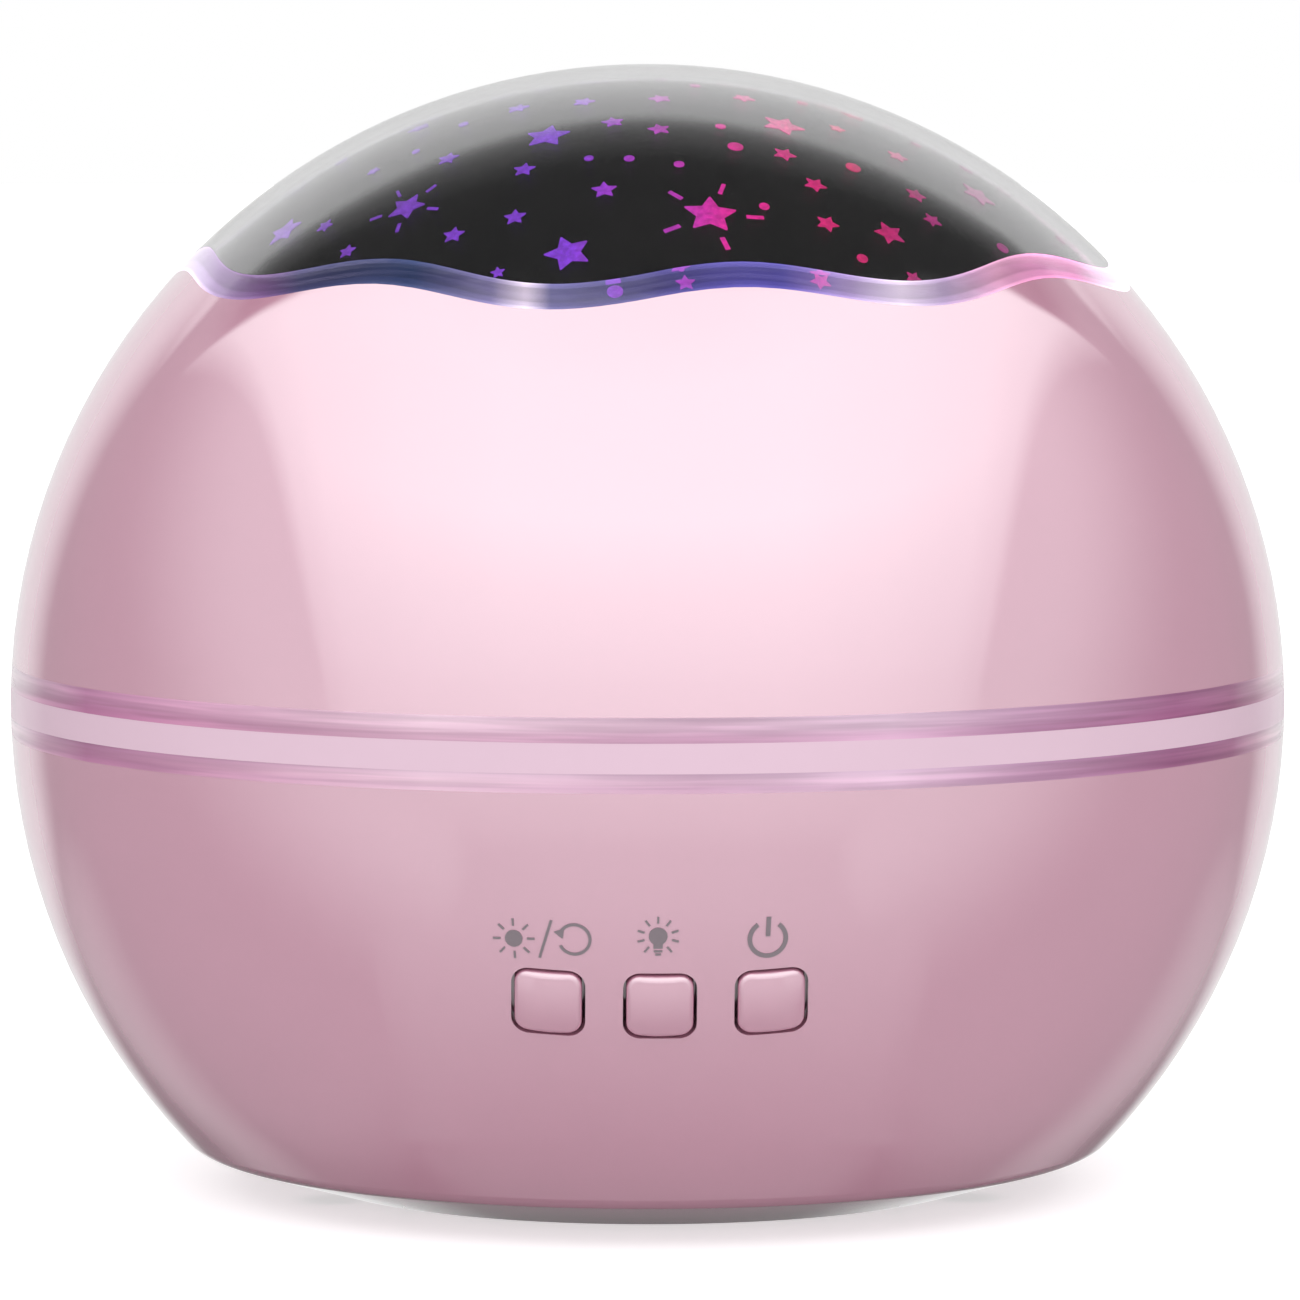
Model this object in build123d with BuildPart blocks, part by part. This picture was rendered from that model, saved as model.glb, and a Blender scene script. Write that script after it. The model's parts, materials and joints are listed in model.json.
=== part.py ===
from build123d import *

import os
from math import acos, asin, cos, degrees, radians, sin, sqrt, tan

# Star projector night lamp shaped as a ball that turns in to a flat underside, in millimetres.
# +Z is up, the buttons face -Y, and the origin is on the table under the ball's axis.

# Ball and the bands round its middle
BALL_RADIUS = 62.5
UNDERSIDE_RADIUS = 33.0
TURN_IN_RADIUS = 44.9
TURN_IN_HEIGHT = 3.4
TURN_IN_EDGE = 4.0
LOWER_RING_HEIGHT = 1.8
BAND_HEIGHT = 2.8
BAND_BELOW_CENTRE = 0.9
UPPER_RING_HEIGHT = 2.35

# Walls
BASE_WALL = 2.2
BASE_FLOOR = 2.2
SHADE_WALL = 1.2
STAR_DOME_WALL = 1.0

# Clearances
GLUE_GAP = 0.05
RUN_GAP = 0.05
SLIDE_GAP = 0.15
FIT_GAP = 0.3
STAR_DOME_GAP = 0.4
THREAD_GAP = 0.02

# Wavy lip at the top of the shade
WAVE_COUNT = 8
WAVE_MEAN = 41.7
WAVE_HEIGHT = 1.0
WAVE_CREST_ANGLE = 10.1
WAVE_POINTS = 8
WAVE_REACH = 12.5
LIP_HEIGHT = 2.3
LIP_TONGUE = 0.55
LIP_TONGUE_DROP = 2.5

# Feet
FOOT_PROUD = 0.6
FOOT_WIDTH = 2.6
FOOT_LENGTH = 28.0
FOOT_RECESS = 1.0
FOOT_MARGIN = 0.9

# Middle frame
RIM_WALL = 1.8
RIM_DEPTH = 3.4
RIM_RISE = 4.0
FRAME_FLOOR = 2.0
FRAME_FLOOR_DROP = 1.8
POST_RADIUS = 10.0
POST_BORE = 5.0
COLLAR_RADIUS = 13.0
COLLAR_HEIGHT = 2.0
WASHER_THICKNESS = 0.8

# Turntable and its gear
TURNTABLE_GAP = 0.6
TURNTABLE_PLATE = 1.8
TURNTABLE_EDGE = 0.2
HUB_WALL = 3.0
HUB_RISE = 3.6
HUB_PLAY = 0.4
LIP_RING_WALL = 1.2
LIP_RING_HEIGHT = 2.5
WINDOW_RADIUS = 7.0
WINDOW_CIRCLE_RADIUS = 41.0
WINDOW_COUNT = 6
GEAR_MODULE = 0.8
GEAR_TEETH = 60
PINION_TEETH = 18
PRESSURE_ANGLE = 20.0
DEDENDUM = 1.25
BACKLASH = 0.16
GEAR_RING_WALL = 4.0
GEAR_FLOOR_GAP = 1.0
PINION_END_GAP = 0.3

# Geared motor
MOTOR_RADIUS = 12.0
MOTOR_HEIGHT = 15.0
MOTOR_SHAFT_OFFSET = 6.0
MOTOR_EAR_SPAN = 31.0
MOTOR_EAR_RADIUS = 3.4
MOTOR_EAR_THICKNESS = 1.0
MOTOR_NOSE_RADIUS = 4.5
MOTOR_NOSE_HEIGHT = 1.5
SHAFT_RADIUS = 2.5
SHAFT_FLATS = 3.6
SHAFT_SEAT = 8.0

# Light engine
LED_HOLDER_RADIUS = 13.0
LED_HOLDER_FLOOR = 2.0
LED_HOLDER_LIP = 0.8
LED_BOARD_RADIUS = 10.5
LED_RADIUS = 2.5
LED_FLANGE_RADIUS = 2.9
LED_FLANGE = 1.0
LED_BODY = 5.0
LED_CIRCLE_RADIUS = 4.3
LED_COUNT = 4

# Buttons and their switch board
BUTTON_LATITUDE = 21.35
BUTTON_PITCH = 10.25
BUTTON_SIZE = 6.2
BUTTON_CORNER = 1.3
BUTTON_PROUD = 0.8
BUTTON_EDGE = 0.6
BUTTON_CROWN = 10.0
BUTTON_FLANGE = 1.0
BUTTON_FLANGE_SIZE = 8.4
BUTTON_STEM_RADIUS = 1.6
BUTTON_TRAVEL = 0.6
BUTTON_NAMES = ("brightness", "colour", "power")
SWITCH_SIZE = 6.0
SWITCH_BODY = 3.5
SWITCH_FLOOR = 0.8
PLUNGER_RADIUS = 1.75
PLUNGER_PROUD = 1.5
STEM_LENGTH = 3.6
SWITCH_BOARD_WIDTH = 12.0
SWITCH_POST_RADIUS = 2.6
BOARD_THICKNESS = 1.6

# Screws, their towers and bosses
FRAME_SHANK = 1.5
FRAME_HEAD = 2.8
FRAME_HEAD_HEIGHT = 2.0
SMALL_SHANK = 1.0
SMALL_HEAD = 1.9
SMALL_HEAD_HEIGHT = 1.3
CROSS_LENGTH = 1.4
CROSS_WIDTH = 0.3
FRAME_SCREW_LENGTH = 12.0
MOTOR_SCREW_LENGTH = 6.0
LED_SCREW_LENGTH = 10.0
BOARD_SCREW_LENGTH = 6.0
DOOR_SCREW_LENGTH = 7.0
TOWER_Y = 13.0
TOWER_MARGIN = 3.0
FRAME_BOSS_LENGTH = 14.2
TOWER_WALL = 1.2
TOWER_WEB = 3.0
BOSS_WALL = 2.0
HEAD_GAP = 0.3
SHANK_GAP = 0.15

# Batteries, tray and door
CELL_COUNT = 4
CELL_RADIUS = 5.25
CELL_LENGTH = 44.5
CELL_NUB = 1.0
CELL_NUB_RADIUS = 1.9
CELL_PITCH = 11.0
CELL_GAP = 0.35
TRAY_WALL = 1.5
CONTACT_THICKNESS = 0.4
CONTACT_WIDTH = 7.0
CONTACT_HEIGHT = 9.0
CONTACT_CORNER = 1.0
SPRING_ROOM = 5.7
DOOR_THICKNESS = 1.2
DOOR_OVERLAP = 1.8
DOOR_GAP = 0.2
DOOR_TONGUE_WIDTH = 11.0
DOOR_BOSS_RADIUS = 3.3
DOOR_BOSS_WALL = 1.0
DOOR_SCREW_WEB = 0.7
SCREW_BOSS_HEIGHT = 6.0
DOOR_RIB_WIDTH = 1.5
DOOR_RIB_SPAN = 28.0

# Main board and power jack
JACK_AXIS_HEIGHT = 6.5
JACK_Z = 23.5
JACK_WIDTH = 9.0
JACK_HEIGHT = 11.0
JACK_LENGTH = 13.5
JACK_NOSE_RADIUS = 4.0
JACK_NOSE_LENGTH = 2.8
JACK_BORE_RADIUS = 3.1
JACK_BORE_DEPTH = 9.5
JACK_PIN_RADIUS = 1.0
JACK_PIN_SHORT = 1.0
JACK_BOSS_RADIUS = 6.8
JACK_RECESS_RADIUS = 5.4
JACK_RECESS_LIP = 0.3
JACK_OVERHANG = 4.5
JACK_BOSS_INSET = 0.5
MAIN_BOARD_WIDTH = 38.0
BOARD_TRAY_GAP = 1.3
PILLAR_INSET = 4.0
PILLAR_RADIUS = 2.8
CONNECTOR_COUNT = 4
CONNECTOR_WIDTH = 6.0
CONNECTOR_DEPTH = 4.5
CONNECTOR_HEIGHT = 5.0
CONNECTOR_PITCH = 8.0
CHIP_WIDTH = 6.0
CHIP_DEPTH = 5.0
CHIP_HEIGHT = 1.6
CAPACITOR_RADIUS = 3.2
CAPACITOR_HEIGHT = 8.0
PART_GAP = 1.6
LEAD_RADIUS = 1.1
LEAD_BEND = 5.0

# Levels, from the table up
underside = FOOT_PROUD
turn_in = underside + TURN_IN_HEIGHT
centre = turn_in + sqrt(BALL_RADIUS**2 - TURN_IN_RADIUS**2)
floor_top = underside + BASE_FLOOR
band_bottom = centre - BAND_BELOW_CENTRE
band_top = band_bottom + BAND_HEIGHT
base_top = band_bottom - LOWER_RING_HEIGHT
shade_bottom = band_top + UPPER_RING_HEIGHT
rim_bottom = base_top - RIM_DEPTH
rim_top = band_top + RIM_RISE
frame_floor_top = band_top - FRAME_FLOOR_DROP
frame_floor_bottom = frame_floor_top - FRAME_FLOOR
washer_bottom = frame_floor_top + COLLAR_HEIGHT
hub_bottom = washer_bottom + WASHER_THICKNESS
gear_bottom = frame_floor_top + GEAR_FLOOR_GAP
plate_bottom = rim_top + TURNTABLE_GAP
plate_top = plate_bottom + TURNTABLE_PLATE
hub_top = plate_top + HUB_RISE
post_top = hub_top + HUB_PLAY
led_seat = post_top + LED_HOLDER_FLOOR
led_board_top = led_seat + BOARD_THICKNESS
wave_low = WAVE_MEAN
wave_high = WAVE_MEAN + LIP_HEIGHT

# Radii of the nested shells
base_inner = BALL_RADIUS - BASE_WALL
shade_inner = BALL_RADIUS - SHADE_WALL
tongue_outer = shade_inner + LIP_TONGUE
star_dome_radius = shade_inner - STAR_DOME_GAP
star_dome_inner = star_dome_radius - STAR_DOME_WALL


def ball_point(radius, height):
    """Point (distance from the axis, height) of a sphere about the ball's centre."""
    return (sqrt(radius**2 - (height - centre) ** 2), height)


def ball_arc(radius, low, high):
    """Arc of that sphere from one height to another."""
    return ThreePointArc(
        ball_point(radius, low),
        ball_point(radius, (low + high) / 2),
        ball_point(radius, high),
    )


def pole_arc(radius, low):
    """Arc of that sphere from a height up to its pole."""
    pole = centre + radius
    return ThreePointArc(
        ball_point(radius, low), ball_point(radius, (low + pole) / 2), (0, pole)
    )


def closed_by(first, second):
    """Two lines that join the ends of two edges into a loop."""
    Line(first @ 0, second @ 0)
    Line(first @ 1, second @ 1)


def shell_part(outer, inner, low, high):
    """Spherical shell between two heights, with level ends."""
    with BuildPart() as shell:
        with BuildSketch(Plane.XZ):
            with BuildLine():
                closed_by(ball_arc(outer, low, high), ball_arc(inner, low, high))
            make_face()
        revolve(axis=Axis.Z)
    return shell.part


def dome_part(outer, inner, low):
    """Spherical shell from a height up to the pole."""
    with BuildPart() as dome:
        with BuildSketch(Plane.XZ):
            with BuildLine():
                closed_by(pole_arc(outer, low), pole_arc(inner, low))
            make_face()
        revolve(axis=Axis.Z)
    return dome.part


def ball_ring(inner, low, high):
    """Ring with a straight bore and the ball's own curve outside."""
    with BuildPart() as ring:
        with BuildSketch(Plane.XZ):
            with BuildLine():
                closed_by(ball_arc(BALL_RADIUS, low, high), Line((inner, low), (inner, high)))
            make_face()
        revolve(axis=Axis.Z)
    return ring.part


# Wavy edge of the shade

wave_inner_radius = BALL_RADIUS - WAVE_REACH
wave_outer_radius = BALL_RADIUS + WAVE_REACH


def wave_point(level, radius, angle):
    """Point of the wave, on a ray from the ball's centre. Angles run from -Y towards +X."""
    rise = level + WAVE_HEIGHT * cos(radians(WAVE_COUNT * (angle - WAVE_CREST_ANGLE)))
    latitude = asin(rise / BALL_RADIUS)
    reach = radius * cos(latitude)
    turn = radians(angle)
    return (reach * sin(turn), -reach * cos(turn), centre + radius * sin(latitude))


def wave_block(level, direction):
    """Solid above or below the wavy surface at a level over the ball's centre."""
    count = WAVE_COUNT * WAVE_POINTS
    angles = [360 * step / count for step in range(count)]
    with BuildPart() as block:
        with BuildLine() as inner_line:
            Spline([wave_point(level, wave_inner_radius, angle) for angle in angles], periodic=True)
        with BuildLine() as outer_line:
            Spline([wave_point(level, wave_outer_radius, angle) for angle in angles], periodic=True)
        surface = Face.make_surface_from_curves(inner_line.edge(), outer_line.edge())
        extrude(surface, amount=BALL_RADIUS, dir=(0, 0, direction))
    return block.part


above_low = wave_block(wave_low, 1)
above_high = wave_block(wave_high, 1)
below_high = wave_block(wave_high, -1)
above_tongue = wave_block(wave_low - LIP_TONGUE_DROP, 1)
above_seat = wave_block(wave_low - LIP_TONGUE_DROP - GLUE_GAP, 1)
shade_reach = centre + wave_high + 2 * WAVE_HEIGHT
tongue_reach = centre + wave_low - LIP_TONGUE_DROP - 3 * WAVE_HEIGHT

# Cover: shade, lip, clear dome and upper ring. The lip's tongue sits in a seat inside the shade's edge.

with BuildPart() as tongue_seat:
    add(shell_part(tongue_outer + GLUE_GAP, shade_inner - LIP_TONGUE, tongue_reach, shade_reach))
    add(above_seat, mode=Mode.INTERSECT)

with BuildPart() as upper_shade:
    add(shell_part(BALL_RADIUS, shade_inner, shade_bottom, shade_reach))
    add(above_low, mode=Mode.SUBTRACT)
    add(tongue_seat.part, mode=Mode.SUBTRACT)

with BuildPart() as lip_band:
    add(shell_part(BALL_RADIUS, shade_inner, tongue_reach, shade_reach))
    add(above_low, mode=Mode.INTERSECT)

with BuildPart() as wave_lip:
    add(shell_part(tongue_outer, shade_inner, tongue_reach, shade_reach))
    add(above_tongue, mode=Mode.INTERSECT)
    add(lip_band.part)
    add(above_high, mode=Mode.SUBTRACT)

with BuildPart() as clear_dome:
    add(dome_part(BALL_RADIUS, shade_inner, centre + wave_high - 2 * WAVE_HEIGHT))
    add(below_high, mode=Mode.SUBTRACT)

rim_radius = ball_point(base_inner, rim_bottom)[0] - FIT_GAP
ring_bore = rim_radius + SLIDE_GAP

with BuildPart() as upper_clear_ring:
    add(ball_ring(ring_bore, band_top, shade_bottom))

with BuildPart() as lower_clear_ring:
    add(ball_ring(ring_bore, base_top, band_bottom))

# Gears

gear_pitch_radius = GEAR_MODULE * GEAR_TEETH / 2
pinion_pitch_radius = GEAR_MODULE * PINION_TEETH / 2
shaft_y = gear_pitch_radius + pinion_pitch_radius
gear_root_radius = gear_pitch_radius - DEDENDUM * GEAR_MODULE


def involute(angle):
    """Involute function, in radians."""
    return tan(angle) - angle


def tooth_half_angle(radius, teeth):
    """Half the angle, in degrees, that a tooth covers at a radius."""
    pitch_radius = GEAR_MODULE * teeth / 2
    base_radius = pitch_radius * cos(radians(PRESSURE_ANGLE))
    at_pitch = (180 / teeth) / 2 - degrees(BACKLASH / 2 / pitch_radius) / 2
    slope = acos(min(1.0, base_radius / radius))
    return at_pitch + degrees(involute(radians(PRESSURE_ANGLE)) - involute(slope))


def tooth_point(radius, teeth, side):
    """Corner of a tooth that points along +X."""
    angle = radians(side * tooth_half_angle(radius, teeth))
    return (radius * cos(angle), radius * sin(angle))


def gear_outline(teeth, start_angle):
    """Filled outline of a spur gear with its first tooth at an angle."""
    pitch_radius = GEAR_MODULE * teeth / 2
    tip_radius = pitch_radius + GEAR_MODULE
    root_radius = pitch_radius - DEDENDUM * GEAR_MODULE
    flank_foot = max(root_radius, pitch_radius * cos(radians(PRESSURE_ANGLE)))
    flank_middle = (flank_foot + tip_radius) / 2
    inward = (root_radius - GEAR_MODULE) / flank_foot
    foot = [Vector(tooth_point(flank_foot, teeth, side)) for side in (-1, 1)]
    middle = [tooth_point(flank_middle, teeth, side) for side in (-1, 1)]
    tip = [tooth_point(tip_radius, teeth, side) for side in (-1, 1)]
    with BuildSketch() as tooth:
        with BuildLine():
            Line(foot[0] * inward, foot[0])
            ThreePointArc(foot[0], middle[0], tip[0])
            Line(tip[0], tip[1])
            ThreePointArc(tip[1], middle[1], foot[1])
            Line(foot[1], foot[1] * inward)
            Line(foot[1] * inward, foot[0] * inward)
        make_face()
    with BuildSketch() as outline:
        Circle(root_radius)
        with PolarLocations(0, teeth, start_angle=start_angle):
            add(tooth.sketch)
    return outline.sketch


# Turntable that carries the star dome

plate_radius = ball_point(star_dome_radius, plate_top)[0] - TURNTABLE_EDGE
lip_ring_radius = ball_point(star_dome_inner, plate_top + LIP_RING_HEIGHT)[0] - TURNTABLE_EDGE
hub_bore = POST_RADIUS + RUN_GAP

with BuildPart() as turntable:
    with BuildSketch(Plane.XY.offset(gear_bottom)):
        add(gear_outline(GEAR_TEETH, 90))
        Circle(gear_root_radius - GEAR_RING_WALL, mode=Mode.SUBTRACT)
    extrude(amount=plate_bottom - gear_bottom)
    with BuildSketch(Plane.XY.offset(plate_bottom)):
        Circle(plate_radius)
        with PolarLocations(WINDOW_CIRCLE_RADIUS, WINDOW_COUNT):
            Circle(WINDOW_RADIUS, mode=Mode.SUBTRACT)
    extrude(amount=TURNTABLE_PLATE)
    with BuildSketch(Plane.XY.offset(plate_top)):
        Circle(lip_ring_radius)
        Circle(lip_ring_radius - LIP_RING_WALL, mode=Mode.SUBTRACT)
    extrude(amount=LIP_RING_HEIGHT)
    with BuildSketch(Plane.XY.offset(hub_bottom)):
        Circle(hub_bore + HUB_WALL)
    extrude(amount=hub_top - hub_bottom)
    with BuildSketch(Plane.XY.offset(hub_bottom)):
        Circle(hub_bore)
    extrude(amount=hub_top - hub_bottom, mode=Mode.SUBTRACT)

with BuildPart() as star_dome:
    add(dome_part(star_dome_radius, star_dome_inner, plate_top))

with BuildPart() as thrust_washer:
    with BuildSketch(Plane.XY.offset(washer_bottom)):
        Circle(COLLAR_RADIUS)
        Circle(hub_bore, mode=Mode.SUBTRACT)
    extrude(amount=WASHER_THICKNESS)

# Geared motor, its shaft and pinion

motor_y = shaft_y - MOTOR_SHAFT_OFFSET
motor_bottom = frame_floor_bottom - MOTOR_HEIGHT
shaft_foot = frame_floor_bottom - SHAFT_SEAT
pinion_bottom = gear_bottom + PINION_END_GAP
pinion_top = plate_bottom - PINION_END_GAP
motor_screw_spots = [(-MOTOR_EAR_SPAN / 2, motor_y), (MOTOR_EAR_SPAN / 2, motor_y)]
ear_bottom = frame_floor_bottom - MOTOR_EAR_THICKNESS

with BuildPart() as motor_body:
    with BuildSketch(Plane.XY.offset(motor_bottom)):
        with Locations((0, motor_y)):
            Circle(MOTOR_RADIUS)
    extrude(amount=MOTOR_HEIGHT)
    with BuildSketch(Plane.XY.offset(ear_bottom)):
        with Locations((0, motor_y)):
            SlotCenterToCenter(MOTOR_EAR_SPAN, 2 * MOTOR_EAR_RADIUS)
    extrude(amount=MOTOR_EAR_THICKNESS)
    with BuildSketch(Plane.XY.offset(frame_floor_bottom)):
        with Locations((0, shaft_y)):
            Circle(MOTOR_NOSE_RADIUS)
    extrude(amount=MOTOR_NOSE_HEIGHT)
    with BuildSketch(Plane.XY.offset(shaft_foot)):
        with Locations((0, shaft_y)):
            Circle(SHAFT_RADIUS + RUN_GAP)
    extrude(amount=SHAFT_SEAT + MOTOR_NOSE_HEIGHT, mode=Mode.SUBTRACT)
    with BuildSketch(Plane.XY.offset(ear_bottom)):
        with Locations(*motor_screw_spots):
            Circle(FRAME_SHANK + SHANK_GAP)
    extrude(amount=MOTOR_EAR_THICKNESS, mode=Mode.SUBTRACT)

with BuildPart() as motor_shaft:
    with BuildSketch(Plane.XY.offset(shaft_foot)):
        with Locations((0, shaft_y)):
            Circle(SHAFT_RADIUS)
    extrude(amount=pinion_bottom - shaft_foot)
    with BuildSketch(Plane.XY.offset(pinion_bottom)):
        with Locations((0, shaft_y)):
            Circle(SHAFT_RADIUS)
            Rectangle(SHAFT_FLATS, 3 * SHAFT_RADIUS, mode=Mode.INTERSECT)
    extrude(amount=pinion_top - pinion_bottom)

with BuildPart() as pinion:
    with BuildSketch(Plane.XY.offset(pinion_bottom)):
        with Locations((0, shaft_y)):
            add(gear_outline(PINION_TEETH, 270 + 180 / PINION_TEETH))
    extrude(amount=pinion_top - pinion_bottom)
    with BuildSketch(Plane.XY.offset(pinion_bottom)):
        with Locations((0, shaft_y)):
            Circle(SHAFT_RADIUS + THREAD_GAP)
            Rectangle(SHAFT_FLATS + 2 * THREAD_GAP, 3 * SHAFT_RADIUS, mode=Mode.INTERSECT)
    extrude(amount=pinion_top - pinion_bottom, mode=Mode.SUBTRACT)

# Screws


def upright_screw(screw, spots, seat, length, upwards):
    """Pan-head screws, given as shank, head and head height, with shanks up or down from a seat."""
    shank, head, head_height = screw
    way = 1 if upwards else -1
    with BuildPart() as screws:
        with BuildSketch(Plane.XY.offset(seat)):
            with Locations(*spots):
                Circle(shank)
        extrude(amount=way * length)
        with BuildSketch(Plane.XY.offset(seat)):
            with Locations(*spots):
                Circle(head)
        extrude(amount=-way * head_height)
        with BuildSketch(Plane.XY.offset(seat - way * head_height)):
            with Locations(*spots):
                Rectangle(CROSS_LENGTH * head, CROSS_WIDTH * head)
                Rectangle(CROSS_WIDTH * head, CROSS_LENGTH * head)
        extrude(amount=way * head_height / 2, mode=Mode.SUBTRACT)
    return screws.part


frame_screw = (FRAME_SHANK, FRAME_HEAD, FRAME_HEAD_HEIGHT)
small_screw = (SMALL_SHANK, SMALL_HEAD, SMALL_HEAD_HEIGHT)
tray_half_width = CELL_PITCH * (CELL_COUNT - 1) / 2 + CELL_RADIUS + CELL_GAP
tower_radius = FRAME_HEAD + HEAD_GAP + TOWER_WALL
tower_x = tray_half_width + TRAY_WALL + tower_radius + TOWER_MARGIN
tower_spots = [(side * tower_x, end * TOWER_Y) for side in (-1, 1) for end in (-1, 1)]
tower_top = frame_floor_bottom - FRAME_BOSS_LENGTH
tower_seat = tower_top - TOWER_WEB
led_screw_circle = (POST_RADIUS + POST_BORE) / 2
led_screw_spots = [(-led_screw_circle, 0), (led_screw_circle, 0)]

with BuildPart() as frame_screws:
    add(upright_screw(frame_screw, tower_spots, tower_seat, FRAME_SCREW_LENGTH, True))

with BuildPart() as motor_screws:
    add(upright_screw(frame_screw, motor_screw_spots, ear_bottom, MOTOR_SCREW_LENGTH, True))

with BuildPart() as led_screws:
    add(upright_screw(small_screw, led_screw_spots, led_board_top, LED_SCREW_LENGTH, False))

# Middle frame: deck, rim with the pale band, post and bosses

boss_radius = FRAME_SHANK + BOSS_WALL
motor_boss_top = ear_bottom + MOTOR_SCREW_LENGTH

with BuildPart() as middle_frame:
    add(ball_ring(rim_radius - RIM_WALL, band_bottom, band_top))
    with BuildSketch(Plane.XY.offset(rim_bottom)):
        Circle(rim_radius)
        Circle(rim_radius - RIM_WALL, mode=Mode.SUBTRACT)
    extrude(amount=rim_top - rim_bottom)
    with BuildSketch(Plane.XY.offset(frame_floor_bottom)):
        Circle(rim_radius - RIM_WALL / 2)
    extrude(amount=FRAME_FLOOR)
    with BuildSketch(Plane.XY.offset(frame_floor_bottom)):
        Circle(COLLAR_RADIUS)
    extrude(amount=washer_bottom - frame_floor_bottom)
    with BuildSketch(Plane.XY.offset(washer_bottom)):
        Circle(POST_RADIUS)
    extrude(amount=post_top - washer_bottom)
    with BuildSketch(Plane.XY.offset(frame_floor_bottom)):
        with Locations(*motor_screw_spots):
            Circle(boss_radius)
    extrude(amount=motor_boss_top - frame_floor_bottom)
    with BuildSketch(Plane.XY.offset(tower_top)):
        with Locations(*tower_spots):
            Circle(boss_radius)
    extrude(amount=FRAME_BOSS_LENGTH)
    with BuildSketch(Plane.XY.offset(frame_floor_bottom)):
        Circle(POST_BORE)
        with Locations((0, shaft_y)):
            Circle(MOTOR_NOSE_RADIUS + FIT_GAP)
    extrude(amount=post_top - frame_floor_bottom, mode=Mode.SUBTRACT)
    with BuildSketch(Plane.XY.offset(frame_floor_bottom)):
        with Locations(*motor_screw_spots):
            Circle(FRAME_SHANK + THREAD_GAP)
    extrude(amount=motor_boss_top - frame_floor_bottom, mode=Mode.SUBTRACT)
    with BuildSketch(Plane.XY.offset(tower_top)):
        with Locations(*tower_spots):
            Circle(FRAME_SHANK + THREAD_GAP)
    extrude(amount=FRAME_SCREW_LENGTH - TOWER_WEB, mode=Mode.SUBTRACT)
    with BuildSketch(Plane.XY.offset(post_top)):
        with Locations(*led_screw_spots):
            Circle(SMALL_SHANK + THREAD_GAP)
    extrude(amount=-LED_SCREW_LENGTH, mode=Mode.SUBTRACT)

# Light engine on the post

with BuildPart() as led_holder:
    with BuildSketch(Plane.XY.offset(post_top)):
        Circle(LED_HOLDER_RADIUS)
    extrude(amount=LED_HOLDER_FLOOR + BOARD_THICKNESS + LED_HOLDER_LIP)
    with BuildSketch(Plane.XY.offset(led_seat)):
        Circle(LED_BOARD_RADIUS + SLIDE_GAP)
    extrude(amount=BOARD_THICKNESS + LED_HOLDER_LIP, mode=Mode.SUBTRACT)
    with BuildSketch(Plane.XY.offset(post_top)):
        Circle(POST_BORE)
        with Locations(*led_screw_spots):
            Circle(SMALL_SHANK + SHANK_GAP)
    extrude(amount=LED_HOLDER_FLOOR, mode=Mode.SUBTRACT)

with BuildPart() as led_board:
    with BuildSketch(Plane.XY.offset(led_seat)):
        Circle(LED_BOARD_RADIUS)
        with Locations(*led_screw_spots):
            Circle(SMALL_SHANK + SHANK_GAP, mode=Mode.SUBTRACT)
    extrude(amount=BOARD_THICKNESS)

with BuildPart() as leds:
    with PolarLocations(LED_CIRCLE_RADIUS, LED_COUNT, start_angle=45):
        with Locations((0, 0, led_board_top)):
            Cylinder(LED_FLANGE_RADIUS, LED_FLANGE, align=(Align.CENTER, Align.CENTER, Align.MIN))
        with Locations((0, 0, led_board_top + LED_FLANGE)):
            Cylinder(LED_RADIUS, LED_BODY, align=(Align.CENTER, Align.CENTER, Align.MIN))
        with Locations((0, 0, led_board_top + LED_FLANGE + LED_BODY)):
            Sphere(LED_RADIUS)

# Body of the base, and the hollow inside its wall and floor

with BuildPart() as base_body:
    with BuildSketch(Plane.XZ):
        with BuildLine():
            side = ball_arc(BALL_RADIUS, turn_in, base_top)
            Polyline(side @ 1, (0, base_top), (0, underside), (UNDERSIDE_RADIUS, underside), side @ 0)
        make_face()
    revolve(axis=Axis.Z)
    fillet(
        base_body.edges().filter_by_position(Axis.Z, turn_in - FIT_GAP, turn_in + FIT_GAP),
        radius=TURN_IN_EDGE,
    )

with BuildPart() as base_hollow:
    with BuildSketch(Plane.XZ):
        with BuildLine():
            Polyline(
                (0, floor_top),
                (UNDERSIDE_RADIUS, floor_top),
                (TURN_IN_RADIUS, floor_top + TURN_IN_HEIGHT),
                (BALL_RADIUS, floor_top + TURN_IN_HEIGHT),
                (BALL_RADIUS, base_top),
                (0, base_top),
                close=True,
            )
        make_face()
    revolve(axis=Axis.Z)
    with Locations((0, 0, centre)):
        Sphere(base_inner, mode=Mode.INTERSECT)

# Buttons, square to one sloping switch board

button_slope = radians(BUTTON_LATITUDE)
button_plane = Plane(
    origin=(0, 0, centre),
    x_dir=(1, 0, 0),
    z_dir=(0, -cos(button_slope), -sin(button_slope)),
)
button_spots = [-BUTTON_PITCH, 0, BUTTON_PITCH]
hole_size = BUTTON_SIZE + 2 * FIT_GAP
flange_reach = BUTTON_PITCH + BUTTON_FLANGE_SIZE / 2
flange_top = sqrt(base_inner**2 - flange_reach**2 - (BUTTON_FLANGE_SIZE / 2) ** 2) - FIT_GAP
flange_bottom = flange_top - BUTTON_FLANGE
plunger_top = flange_bottom - STEM_LENGTH
switch_top = plunger_top - PLUNGER_PROUD
switch_board_front = switch_top - SWITCH_BODY
switch_board_back = switch_board_front - BOARD_THICKNESS
plunger_foot = switch_board_front + SWITCH_FLOOR + BUTTON_TRAVEL + FIT_GAP
switch_post_x = flange_reach + SWITCH_POST_RADIUS + 2 * FIT_GAP
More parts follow.
